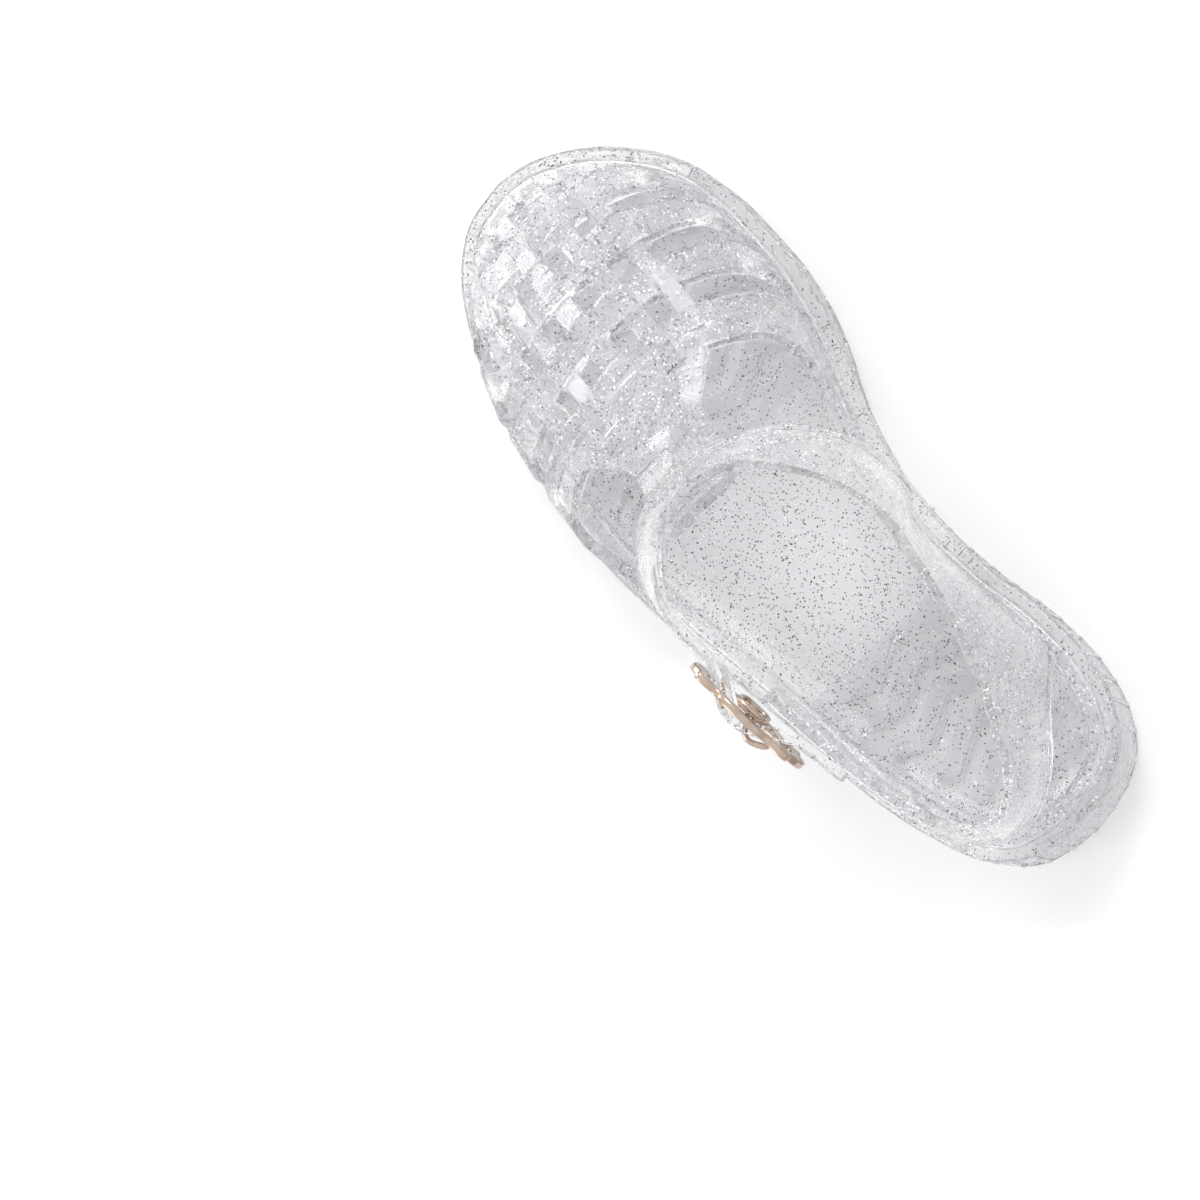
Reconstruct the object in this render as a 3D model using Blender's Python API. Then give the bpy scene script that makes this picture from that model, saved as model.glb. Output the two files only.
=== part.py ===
"""Child's jelly sandal, left shoe: a woven clear upper on a moulded sole, with a metal buckle.

Sizes in the tables are millimetres. +X is the medial side, +Y the toe, +Z up.
The origin is the middle of the bounding box, on the ground.
"""
import math

import bmesh
import bpy
import numpy as np
from mathutils import Vector

MM = 0.001

# The middle of the bounding box, in the tables' own measure
MIDDLE = Vector((0.239, 0.35, 0.0))

# Walls and clearances
STRAP_WALL = 2.2
WEAVE_LIFT = 1.0
FOOT_INSET = 3.2
SEAT_GAP = 0.3
RIM_WALL = 2.9
RIM_INSET = 3.0
RIM_DEPTH = 2.0
RIM_RISE = 0.3

# Sole
PLAN_STATIONS = 36
TREAD_DEPTH = 1.3
TREAD_RIM = 4.6
BAR_HALF = 2.0
BAR_PITCH = 8.0
BAR_SWING = 5.0
BAR_HALF_WAVE = 9.6
SPINE_X = -3.0
HEEL_BARS = (-36.0, 6)
FORE_BARS = (24.0, 7)
BAR_CLEAR = 1.4
BAR_TOP = 2.4
RIB_PITCH = 5.5
RIB_WIDTH = 1.6
RIB_DEPTH = 2.0
RIB_SUNK = 0.2
RIB_TAPER = 0.6
RIB_FOOT = 1.7
RIB_HEAD = 1.6
RIBS_END_Y = -14.0

# Vamp
MEDIAL_POWER = 2.35
LATERAL_POWER = 3.0
LATERAL_BULGE = 5.6
MEDIAL_BULGE = 1.4

OUTLINE = (
    ("y", "medial", "lateral"),
    (-86.9, -0.6, -0.6),
    (-86.3, 4.5, -5.6),
    (-84.6, 10.6, -11.6),
    (-81.5, 15.8, -16.0),
    (-77.0, 19.4, -19.4),
    (-70.0, 22.3, -22.2),
    (-60.0, 23.7, -25.0),
    (-50.0, 23.2, -26.9),
    (-38.0, 21.1, -28.3),
    (-25.0, 20.0, -29.8),
    (-15.0, 20.6, -31.1),
    (-3.0, 22.9, -32.6),
    (6.0, 25.8, -33.5),
    (16.0, 29.8, -34.0),
    (26.0, 32.8, -33.6),
    (38.0, 34.6, -32.4),
    (50.0, 34.8, -30.4),
    (60.0, 33.6, -27.3),
    (68.0, 30.6, -23.8),
    (75.0, 25.6, -19.6),
    (80.0, 20.6, -15.6),
    (84.0, 14.6, -10.6),
    (86.6, 8.6, -5.0),
    (87.6, 2.6, 2.6),
)

# Height of the flange and of the ground side: flat heel, arch, flat forefoot, toe spring
SIDE = (
    ("y", "top", "bottom"),
    (-88.0, 18.6, 0.0),
    (-60.0, 17.6, 0.0),
    (-40.0, 15.2, 0.0),
    (-34.0, 14.6, 0.6),
    (-24.0, 13.8, 3.2),
    (-10.0, 13.2, 5.8),
    (4.0, 12.8, 5.2),
    (18.0, 12.3, 1.6),
    (28.0, 12.0, 0.0),
    (40.0, 11.8, 0.0),
    (62.0, 12.3, 0.0),
    (70.0, 13.2, 0.8),
    (80.0, 14.9, 3.2),
    (88.0, 16.5, 6.2),
)

# The sole's section from the tread up and over into the footbed
SOLE_SECTION = (
    ("inset", "from_top", "height"),
    (TREAD_RIM, False, TREAD_DEPTH),
    (TREAD_RIM - 0.2, False, 0.0),
    (1.6, False, 0.0),
    (0.5, False, 1.4),
    (0.8, False, 2.2),
    (0.8, True, -2.6),
    (0.0, True, -1.7),
    (0.5, True, 0.0),
    (RIM_INSET - SEAT_GAP, True, 0.0),
    (RIM_INSET - SEAT_GAP, True, -RIM_DEPTH - SEAT_GAP),
    (RIM_INSET + RIM_WALL + SEAT_GAP, True, -RIM_DEPTH - SEAT_GAP),
    (RIM_INSET + RIM_WALL + SEAT_GAP, True, -0.9),
    (8.6, True, -2.2),
)
FOOTBED_DISH = 0.8
DISH_SHARE = 0.55

RIDGE = (
    ("y", "height", "x"),
    (-4.0, 47.0, -4.0),
    (20.0, 44.0, -3.0),
    (28.0, 40.2, -2.6),
    (36.0, 37.6, -2.0),
    (45.0, 35.0, -1.0),
    (55.0, 32.2, 0.0),
    (65.0, 28.6, 1.0),
    (72.0, 25.0, 1.8),
    (78.0, 20.6, 2.2),
    (82.0, 16.8, 2.6),
    (84.2, 13.5, 2.6),
)
TOE_END = 84.2

# Edges of the five long strips, medial to lateral
LONG_EDGES = (17.0, 13.5, 9.0, 4.5, 0.0, -5.0, -9.0, -13.0, -16.0, -20.5)

# Shares of the way from the foot of the vamp up to the long strips, and from their start to the toe
SIDE_STEPS = (0.0, 0.2, 0.42, 0.62, 0.82)
TOE_STEPS = (1.0, 0.96, 0.8, 0.45)

TOE_DRAW_FROM = 60.0
TOE_DRAW_TO = 78.0
LATERAL_DRAW = 0.28
MEDIAL_DRAW = 0.05

# Edges of the four cross strips: y at each angle round the vamp, 0 medial to 180 lateral
CROSS_ANGLES = (0, 20, 45, 70, 90, 110, 135, 160, 180)
CROSS_EDGES = (
    ("first front", 68.0, 71.5, 74.8, 77.0, 78.0, 77.0, 74.6, 71.0, 67.5),
    ("first rear", 57.0, 61.0, 65.4, 67.8, 68.6, 68.0, 66.2, 63.0, 59.5),
    ("second front", 50.0, 54.7, 60.3, 62.9, 63.2, 62.8, 60.5, 57.0, 53.0),
    ("second rear", 40.5, 48.4, 52.4, 54.7, 56.3, 55.0, 51.8, 49.0, 46.0),
    ("third front", 36.5, 43.6, 46.9, 49.3, 50.9, 49.6, 46.8, 44.0, 40.0),
    ("third rear", 30.5, 34.6, 39.4, 43.0, 44.4, 41.9, 38.5, 35.5, 32.0),
    ("fourth front", 23.5, 28.2, 32.8, 36.8, 38.6, 36.8, 33.0, 29.0, 26.0),
    ("fourth middle", 11.5, 22.2, 28.0, 32.2, 33.8, 32.4, 28.5, 22.5, 15.0),
    ("fourth rear", -3.0, 16.2, 23.3, 28.0, 29.0, 28.0, 24.0, 15.0, 2.0),
)

# The T-bar's outer surface along its middle, its two edges and how much it rounds over
T_BAR = (
    ("y", "height", "medial", "lateral", "crown"),
    (24.6, 41.4, 9.6, -16.4, 2.6),
    (22.5, 42.0, 7.4, -15.0, 2.2),
    (19.8, 43.0, 5.6, -14.0, 1.9),
    (17.2, 44.6, 4.8, -13.9, 1.7),
    (14.2, 46.6, 4.5, -14.3, 1.6),
    (10.8, 49.6, 4.5, -14.6, 1.6),
    (7.6, 53.0, 4.5, -14.9, 1.6),
    (4.9, 56.6, 4.4, -15.2, 1.5),
    (2.7, 59.7, 4.1, -15.0, 1.4),
    (1.0, 62.1, 2.9, -14.2, 1.3),
    (-0.5, 64.2, 0.0, -11.4, 1.1),
)

# Strap, quarters and heel band as one ribbon, from the strap's free end on the lateral side,
# over the T-bar, down the medial side, round the heel and back to the lateral flange.
# Each row is one section of the outer surface: its lower edge, its upper edge, its bulge.
BAND = (
    ("lower_x", "lower_y", "lower_z", "upper_x", "upper_y", "upper_z", "bulge"),
    (-26.0, -51.5, 32.6, -25.8, -51.3, 36.6, 0.0),
    (-26.3, -49.0, 30.6, -26.0, -48.6, 38.2, 0.1),
    (-26.9, -44.5, 30.6, -26.7, -44.0, 39.8, 0.1),
    (-27.8, -40.0, 32.0, -27.6, -39.8, 39.8, 0.1),
    (-31.0, -35.5, 32.7, -30.8, -35.3, 40.5, 0.1),
    (-33.3, -31.5, 33.2, -33.1, -31.3, 41.2, 0.1),
    (-33.1, -27.0, 33.9, -32.9, -26.8, 41.9, 0.1),
    (-30.8, -23.2, 34.6, -30.6, -23.0, 42.5, 0.1),
    (-28.6, -18.4, 35.2, -28.3, -18.6, 43.4, 0.1),
    (-28.9, -9.5, 36.4, -28.4, -13.4, 46.8, 0.3),
    (-28.4, -2.5, 39.2, -27.4, -9.0, 49.8, 0.5),
    (-26.6, 2.6, 43.0, -25.2, -4.8, 53.4, 0.6),
    (-22.6, 6.8, 46.8, -20.8, -0.6, 56.6, 0.7),
    (-18.4, 9.2, 49.3, -17.4, 2.4, 58.2, 0.5),
    (-14.2, 10.4, 51.4, -14.4, 3.9, 59.6, 0.3),
    (-9.0, 10.5, 52.7, -9.4, 4.6, 60.7, 0.2),
    (-4.0, 10.1, 52.9, -4.4, 4.4, 60.9, 0.2),
    (1.0, 9.2, 52.8, 0.4, 3.2, 60.9, 0.2),
    (5.3, 7.7, 53.2, 4.4, 1.4, 61.1, 0.3),
    (8.7, 5.8, 53.6, 7.9, -2.2, 61.3, 0.5),
    (12.5, 3.8, 53.6, 11.0, -6.2, 60.4, 0.6),
    (17.0, -0.1, 52.8, 13.6, -9.8, 58.9, 0.7),
    (20.3, -4.3, 50.6, 15.5, -13.8, 57.2, 0.8),
    (22.8, -8.9, 47.4, 17.0, -18.0, 54.8, 0.8),
    (23.6, -13.0, 44.0, 17.8, -21.6, 52.3, 0.8),
    (23.6, -17.2, 39.6, 17.9, -24.4, 50.6, 0.9),
    (22.4, -19.6, 30.0, 17.6, -27.2, 48.8, 1.0),
    (17.2, -18.0, 12.6, 17.0, -30.6, 47.2, 1.6),
    (16.9, -27.0, 12.9, 16.2, -34.4, 46.3, 1.8),
    (17.9, -38.0, 13.9, 15.0, -40.0, 46.0, 1.8),
    (19.6, -48.0, 15.1, 13.1, -48.6, 46.4, 1.6),
    (20.4, -56.0, 16.2, 10.6, -56.6, 47.0, 1.3),
    (17.6, -62.5, 23.4, 8.0, -63.6, 47.6, 0.9),
    (13.0, -69.0, 29.6, 5.0, -69.6, 48.0, 0.7),
    (8.6, -75.6, 33.0, 2.6, -75.0, 48.6, 0.5),
    (3.8, -80.6, 34.8, -0.2, -79.4, 49.2, 0.5),
    (-1.8, -83.6, 35.2, -4.2, -82.2, 49.2, 0.5),
    (-8.2, -83.9, 34.0, -9.4, -82.4, 47.6, 0.5),
    (-14.0, -80.4, 31.6, -14.0, -79.2, 45.2, 0.6),
    (-18.0, -74.0, 27.6, -17.6, -73.4, 43.2, 0.8),
    (-20.6, -66.4, 21.2, -20.2, -66.2, 41.8, 1.0),
    (-22.2, -58.0, 16.4, -22.0, -58.0, 41.0, 1.2),
    (-23.8, -50.0, 15.5, -23.2, -50.2, 40.6, 1.2),
    (-24.9, -41.0, 14.3, -24.2, -42.2, 40.2, 1.2),
    (-25.8, -32.0, 13.4, -25.0, -35.0, 39.6, 0.8),
    (-26.6, -24.0, 12.8, -25.2, -30.0, 38.4, 0.5),
)

# Keeper loop: distance down the T-bar from its root, and height off the T-bar
KEEPER_ROOT = (2.1, 60.6)
KEEPER_SLOPE = math.radians(51.5)
KEEPER_PATH = ((0.0, -1.5), (0.0, 4.2), (0.9, 5.1), (14.4, 5.1), (15.6, 4.0), (16.4, -1.5))
KEEPER_WALL = 2.0
KEEPER_SPAN = (-4.0, -12.5)

# Buckle
FRAME_FRONT = (-29.8, -16.9, 39.6)
FRAME_REAR = (-28.6, -43.3, 35.4)
FRAME_THICK = 1.5
FRAME_HALF_HEIGHT = 8.6
FRAME_BORDER = 2.6
FRAME_WAVES = 4
FRAME_WAVE = 0.7
BAR_RADIUS = 0.68
PRONG_RADIUS = 0.75
PRONG_TONGUE = ((1.6, 2.3), (4.2, 1.6), (6.6, 0.0))
PRONG_HOLE = (1.7, 3.0, 1.5, 2.8)
CLIP_WIRE = 0.7
CLIP_REACH = (3.4, 4.9)
CLIP_SQUARE = 0.5


def reader(table, name):
    """A smooth monotone curve through one named column of a table, against its first column."""
    at = [row[0] for row in table[1:]]
    value = [row[table[0].index(name)] for row in table[1:]]
    return monotone(at, value)


def monotone(at, value):
    """Piecewise cubic through the points that never overshoots them."""
    at = np.asarray(at, float)
    value = np.asarray(value, float)
    step = np.diff(at)
    rise = np.diff(value) / step
    slope = np.zeros(len(at))
    slope[0] = rise[0]
    slope[-1] = rise[-1]
    for i in range(1, len(at) - 1):
        if rise[i - 1] * rise[i] > 0:
            before = 2 * step[i] + step[i - 1]
            after = step[i] + 2 * step[i - 1]
            slope[i] = (before + after) / (before / rise[i - 1] + after / rise[i])

    def read(x):
        x = min(max(float(x), at[0]), at[-1])
        i = min(int(np.searchsorted(at, x, side="right")) - 1, len(step) - 1)
        t = (x - at[i]) / step[i]
        start = (1 + 2 * t) * (1 - t) ** 2 * value[i] + t * (1 - t) ** 2 * step[i] * slope[i]
        end = t * t * (3 - 2 * t) * value[i + 1] + t * t * (t - 1) * step[i] * slope[i + 1]
        return float(start + end)

    return read


def along(rows, steps):
    """Rows of numbers with smooth rows added between each pair."""
    rows = np.asarray(rows, float)
    padded = np.vstack([2 * rows[0] - rows[1], rows, 2 * rows[-1] - rows[-2]])
    found = []
    for i in range(len(rows) - 1):
        a, b, c, d = padded[i : i + 4]
        for k in range(steps):
            t = k / steps
            bend = (2 * a - 5 * b + 4 * c - d) * t * t + (3 * b - a - 3 * c + d) * t ** 3
            found.append(0.5 * (2 * b + (c - a) * t + bend))
    found.append(rows[-1])
    return np.array(found)


medial_edge = reader(OUTLINE, "medial")
lateral_edge = reader(OUTLINE, "lateral")
flange_height = reader(SIDE, "top")
ground_height = reader(SIDE, "bottom")
ridge_height = reader(RIDGE, "height")
ridge_x = reader(RIDGE, "x")


def plan_loop(stations=PLAN_STATIONS):
    """The sole's outline as one loop: up the medial side, back down the lateral side."""
    heel = OUTLINE[1][0]
    toe = OUTLINE[-1][0]
    turn = np.linspace(0, math.pi, stations)[1:-1]
    ys = (heel + toe) / 2 - (toe - heel) / 2 * np.cos(turn)
    medial = [(medial_edge(y), y) for y in ys]
    lateral = [(lateral_edge(y), y) for y in ys[::-1]]
    return np.array([(OUTLINE[1][1], heel), *medial, (OUTLINE[-1][1], toe), *lateral])


def inset_loop(loop, inset):
    """The loop moved inward along its own normals."""
    ahead = np.roll(loop, -1, axis=0) - loop
    behind = loop - np.roll(loop, 1, axis=0)
    ahead /= np.linalg.norm(ahead, axis=1)[:, None]
    behind /= np.linalg.norm(behind, axis=1)[:, None]
    tangent = ahead + behind
    tangent /= np.linalg.norm(tangent, axis=1)[:, None]
    inward = np.stack([-tangent[:, 1], tangent[:, 0]], axis=1)
    return loop + inward * inset


def foot_lines():
    """Where the upper's wall meets the flange: x against y on each side."""
    loop = inset_loop(plan_loop(120), FOOT_INSET)
    toe = int(np.argmax(loop[:, 1]))
    heel = int(np.argmin(loop[:, 1]))
    medial = loop[heel : toe + 1]
    lateral = np.vstack([loop[toe:], loop[: heel + 1]])[::-1]
    return medial, lateral


MEDIAL_FOOT, LATERAL_FOOT = foot_lines()


def foot_x(y, medial):
    line = MEDIAL_FOOT if medial else LATERAL_FOOT
    return float(np.interp(y, line[:, 1], line[:, 0]))


def new_object(name, mesh_maker, material=None):
    bm = mesh_maker()
    for vertex in bm.verts:
        vertex.co = (vertex.co - MIDDLE) * MM
    bm.normal_update()
    bmesh.ops.recalc_face_normals(bm, faces=bm.faces)
    mesh = bpy.data.meshes.new(name)
    bm.to_mesh(mesh)
    bm.free()
    made = bpy.data.objects.new(name, mesh)
    bpy.context.scene.collection.objects.link(made)
    if material:
        mesh.materials.append(material)
    else:
        made.hide_render = True
        made.display_type = "WIRE"
    return made


def join_to(target, helper, label):
    modifier = target.modifiers.new(label, "BOOLEAN")
    modifier.operation = "UNION"
    modifier.solver = "EXACT"
    modifier.object = helper


def cut_from(target, helper, label):
    join_to(target, helper, label)
    target.modifiers[label].operation = "DIFFERENCE"


def make_material(name, colour, roughness, metallic):
    material = bpy.data.materials.new(name)
    material.use_nodes = True
    shader = material.node_tree.nodes["Principled BSDF"]
    shader.inputs["Base Color"].default_value = (*colour, 1)
    shader.inputs["Roughness"].default_value = roughness
    shader.inputs["Metallic"].default_value = metallic
    return material


def loop_faces(bm, lower, upper):
    """Quads between two closed rings of the same count."""
    count = len(lower)
    for i in range(count):
        j = (i + 1) % count
        bm.faces.new((lower[i], lower[j], upper[j], upper[i]))


def cap_across(bm, ring):
    """Closes a plan ring with quads from its medial side to its lateral side."""
    count = len(ring)
    half = count // 2
    for i in range(half):
        corners = [ring[i], ring[i + 1], ring[(count - i - 1) % count], ring[(count - i) % count]]
        bm.faces.new(list(dict.fromkeys(corners)))


def sole_body():
    bm = bmesh.new()
    loop = plan_loop()
    rings = []
    for inset, from_top, height in SOLE_SECTION[1:]:
        ring = []
        for x, y in inset_loop(loop, inset):
            base = flange_height(y) if from_top else ground_height(y)
            ring.append(bm.verts.new((x, y, base + height)))
        rings.append(ring)
    for lower, upper in zip(rings, rings[1:]):
        loop_faces(bm, lower, upper)
    middle_x = np.mean([v.co.x for v in rings[-1]])
    dish = []
    for vertex in rings[-1]:
        x = middle_x + (vertex.co.x - middle_x) * DISH_SHARE
        y = vertex.co.y * 0.93
        dish.append(bm.verts.new((x, y, vertex.co.z - FOOTBED_DISH)))
    loop_faces(bm, rings[-1], dish)
    cap_across(bm, rings[0])
    cap_across(bm, dish)
    return bm


def zigzag(y0, left, right):
    """Corner points of one chevron bar, from its lateral end to its medial end."""
    peaks = [SPINE_X + k * BAR_HALF_WAVE for k in range(-3, 4)]
    xs = [left] + [x for x in peaks if left + 1.5 < x < right - 1.5] + [right]
    phases = [abs(((x - SPINE_X) / BAR_HALF_WAVE) % 2 - 1) for x in xs]
    return [(x, y0 + BAR_SWING * (phase - 0.5)) for x, phase in zip(xs, phases)]


def tread_bars():
    bm = bmesh.new()
    heel_bars = [HEEL_BARS[0] - BAR_PITCH * i for i in range(HEEL_BARS[1])]
    fore_bars = [FORE_BARS[0] + BAR_PITCH * i for i in range(FORE_BARS[1])]
    for y0 in heel_bars + fore_bars:
        reach = TREAD_RIM + BAR_CLEAR
        near = (y0 - BAR_PITCH / 2, y0, y0 + BAR_PITCH / 2)
        left = max(lateral_edge(y) for y in near) + reach
        right = min(medial_edge(y) for y in near) - reach
        sections = []
        for x, y in zigzag(y0, left, right):
            under = ground_height(y)
            back, front = y - BAR_HALF, y + BAR_HALF
            corners = ((back, 0.0), (front, 0.0), (front, BAR_TOP), (back, BAR_TOP))
            sections.append([bm.verts.new((x, cy, under + up)) for cy, up in corners])
        for one, two in zip(sections, sections[1:]):
            loop_faces(bm, one, two)
        bm.faces.new(sections[0])
        bm.faces.new(sections[-1][::-1])
    return bm


def side_ribs():
    """Upright ribs round the heel and waist of the side wall."""
    bm = bmesh.new()
    loop = plan_loop(160)
    edge = np.vstack([loop, loop[:1]])
    length = np.concatenate([[0], np.cumsum(np.linalg.norm(np.diff(edge, axis=0), axis=1))])
    outward = loop - inset_loop(loop, 1.0)
    outward = np.vstack([outward, outward[:1]])
    count = round(length[-1] / RIB_PITCH)
    for s in np.linspace(0, length[-1], count, endpoint=False):
        x, y = (np.interp(s, length, edge[:, k]) for k in (0, 1))
        if y > RIBS_END_Y:
            continue
        away = Vector([np.interp(s, length, outward[:, k]) for k in (0, 1)] + [0]).normalized()
        side = Vector((-away.y, away.x, 0))
        low = ground_height(y) + RIB_FOOT
        high = flange_height(y) - RIB_HEAD
        centre = Vector((x, y, 0))
        rings = []
        for z in (low, high):
            inner, outer = -RIB_DEPTH, -RIB_SUNK
            corners = ((-1, inner), (1, inner), (RIB_TAPER, outer), (-RIB_TAPER, outer))
            spots = [centre + side * (a * RIB_WIDTH / 2) + away * b for a, b in corners]
            rings.append([bm.verts.new((p.x, p.y, z)) for p in spots])
        loop_faces(bm, *rings)
        bm.faces.new(rings[0])
        bm.faces.new(rings[1][::-1])
    return bm


def base_rim():
    """The upper's rim that sits in the sole's groove and ties every strip's foot together."""
    bm = bmesh.new()
    loop = plan_loop()
    rings = []
    section = (
        (RIM_INSET, -RIM_DEPTH),
        (RIM_INSET, RIM_RISE),
        (RIM_INSET + RIM_WALL, RIM_RISE),
        (RIM_INSET + RIM_WALL, -RIM_DEPTH),
    )
    for inset, height in section:
        spots = inset_loop(loop, inset)
        rings.append([bm.verts.new((x, y, flange_height(y) + height)) for x, y in spots])
    for lower, upper in zip(rings, rings[1:] + rings[:1]):
        loop_faces(bm, lower, upper)
    return bm


def vamp_point(y, angle):
    """The last's surface at y, at an angle from the medial foot (0) to the lateral foot (180)."""
    turn = math.radians(angle)
    c, s = math.cos(turn), max(math.sin(turn), 0.0)
    medial = c > 0
    base = flange_height(y) - 1.0
    half = max(abs(foot_x(y, medial) - ridge_x(y)), 0.01)
    bulge = (MEDIAL_BULGE if medial else LATERAL_BULGE) * min(half / 28.0, 1.0)
    half += bulge * math.sin(2 * min(turn, math.pi - turn)) ** 2
    power = MEDIAL_POWER if medial else LATERAL_POWER
    x = ridge_x(y) + math.copysign(half * abs(c) ** (2 / power), c)
    z = base + max(ridge_height(y) - base, 0.0) * s ** (2 / power)
    return x, y, z


def angle_at(x, y):
    """The angle at which the section at y passes through x."""
    low, high = 0.0, 180.0
    for _ in range(40):
        middle = (low + high) / 2
        if vamp_point(y, middle)[0] > x:
            low = middle
        else:
            high = middle
    return (low + high) / 2


def cross_edge(row):
    return monotone(CROSS_ANGLES, CROSS_EDGES[row][1:])


def long_edge_x(x, y):
    """A long strip's edge drawn in towards the middle of the toe."""
    share = min(max((y - TOE_DRAW_FROM) / (TOE_DRAW_TO - TOE_DRAW_FROM), 0.0), 1.0)
    return x * (1 - share * (LATERAL_DRAW if x < 0 else MEDIAL_DRAW))


def spot_on_long_edge(x, edge):
    """Where a long strip's edge crosses a cross strip's edge: its y and its angle."""
    angle = 90.0
    for _ in range(30):
        y = edge(angle)
        angle = 0.6 * angle_at(long_edge_x(x, y), y) + 0.4 * angle
    return edge(angle), angle


def toe_foot(x):
    """The y at which a long strip's edge reaches the flange at the toe."""
    low, high = 60.0, TOE_END
    for _ in range(40):
        middle = (low + high) / 2
        inside = foot_x(middle, False) < long_edge_x(x, middle) < foot_x(middle, True)
        if inside and ridge_height(middle) > flange_height(middle) - 1.0:
            low = middle
        else:
            high = middle
    return low


def vamp_grid():
    """Points of the vamp: rows from the toe back, columns from medial to lateral."""
    rows = []
    side = len(SIDE_STEPS)
    first = cross_edge(0)
    for share in TOE_STEPS:
        row = [None] * (side * 2 + len(LONG_EDGES))
        for k, x in enumerate(LONG_EDGES):
            start = spot_on_long_edge(x, first)[0]
            y = start + (toe_foot(x) - start) * share
            row[side + k] = vamp_point(y, angle_at(long_edge_x(x, y), y))
        rows.append(row)
    for r in range(len(CROSS_EDGES)):
        edge = cross_edge(r)
        crossings = [spot_on_long_edge(x, edge) for x in LONG_EDGES]
        angles = [crossings[0][1] * step for step in SIDE_STEPS]
        angles += [angle for _, angle in crossings]
        rest = 180 - crossings[-1][1]
        angles += [180 - rest * step for step in SIDE_STEPS[::-1]]
        rows.append([vamp_point(edge(angle), angle) for angle in angles])
    return rows


def t_bar_rows(columns):
    """Rows of the T-bar, with one point for each long strip edge it grows from."""
    rows = []
    sections = list(along(T_BAR[1:-1], 2)) + [np.array(T_BAR[-1])]
    for y, height, medial, lateral, crown in sections:
        middle = (medial + lateral) / 2
        half = (medial - lateral) / 2
        row = []
        for k in range(columns):
            x = medial + (lateral - medial) * k / (columns - 1)
            off = (x - middle) / half
            row.append((x, y - 0.4 * crown * off * off, height - crown * off * off))
        rows.append(row)
    return rows


def woven_vamp():
    """The vamp and T-bar as one wall, with each strip raised where it crosses over another."""
    bm = bmesh.new()
    side = len(SIDE_STEPS)
    grid = vamp_grid()
    points = [[p and bm.verts.new(p) for p in row] for row in grid]
    toe_rows = len(TOE_STEPS)
    long_cells = {side + 2 * k: k for k in range(5)}
    bar = t_bar_rows(len(LONG_EDGES) - 1)
    cells = {}

    def cell(r, c):
        corners = (points[r][c], points[r][c + 1], points[r + 1][c + 1], points[r + 1][c])
        if all(corners):
            cells[r, c] = bm.faces.new(corners)

    for r in range(len(points) - 1):
        cross = r >= toe_rows and (r - toe_rows) % 2 == 0 or r >= toe_rows + 6
        for c in range(len(points[0]) - 1):
            if cross or c in long_cells:
                cell(r, c)
    previous = points[-1][side + 1 : side + len(LONG_EDGES)]
    for row in bar:
        current = [bm.verts.new(p) for p in row]
        for c in range(len(current) - 1):
            bm.faces.new((previous[c], previous[c + 1], current[c + 1], current[c]))
        previous = current
    bmesh.ops.recalc_face_normals(bm, faces=bm.faces)
    if cells[toe_rows, side + 4].normal.z < 0:
        bmesh.ops.reverse_faces(bm, faces=bm.faces)
    bm.normal_update()
    outward = {vertex: vertex.normal.copy() for vertex in bm.verts}
    places = {}
    for r, row in enumerate(points):
        for c, vertex in enumerate(row):
            if vertex:
                places[spot_key(vertex)] = (vertex.normal.copy(), (r, c))
    wall_inward(bm, outward, STRAP_WALL)

    cross_row = [toe_rows + 2 * i for i in range(4)]
    for k in range(5):
        for i in range(4):
            over = (k % 2 == 0) == (i % 2 == 0)
            column = side + 2 * k
            row = cross_row[i]
            if over:
                run = [(row - 1, column), (row, column), (row + 1, column)]
                lift = {row: 1, row + 1: 1, row - 1: 0.25 if i == 0 else 0, row + 2: 0.6 if i == 3 else 0}
                if i == 0:
                    run = [(row - 2, column)] + run
                    lift.update({row - 2: 0, row - 1: 0.6})
                raise_run(bm, [cells[c] for c in run], places, lift, 0)
            else:
                run = [(row, column - 1), (row, column), (row, column + 1)]
                lift = {column: 1, column + 1: 1, column - 1: 0, column + 2: 0}
                if k == 0:
                    lift.update({column - 1: 0.6, column - 2: 0})
                    run.append((row, column - 2))
                if k == 4:
                    lift.update({column + 2: 0.6, column + 3: 0})
                    run.append((row, column + 2))
                raise_run(bm, [cells[c] for c in run if c in cells], places, lift, 1)
    bmesh.ops.remove_doubles(bm, verts=bm.verts, dist=1e-4)
    return bm


def wall_inward(bm, outward, thickness):
    """Turns the open surface into a closed wall, keeping the given faces as its outside."""
    faces = list(bm.faces)
    twins = {v: bm.verts.new(v.co - n * thickness) for v, n in outward.items()}
    rims = [(e.verts[0], e.verts[1], e.link_faces[0]) for e in bm.edges if e.is_boundary]
    for face in faces:
        bm.faces.new([twins[v] for v in reversed(face.verts)])
    for a, b, face in rims:
        order = list(face.verts)
        if order[(order.index(a) + 1) % len(order)] is not b:
            a, b = b, a
        bm.faces.new((b, a, twins[a], twins[b]))


def spot_key(vertex):
    return tuple(round(value, 5) for value in vertex.co)


def raise_run(bm, faces, places, lift, axis):
    """Lifts the faces of one strip where it passes over another, tapering to nothing at its ends."""
    made = bmesh.ops.extrude_face_region(bm, geom=faces)
    bmesh.ops.delete(bm, geom=[f for f in faces if f.is_valid], context="FACES")
    for top in made["geom"]:
        if isinstance(top, bmesh.types.BMVert):
            normal, index = places[spot_key(top)]
            top.co += normal * (WEAVE_LIFT * lift.get(index[axis], 0))


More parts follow.
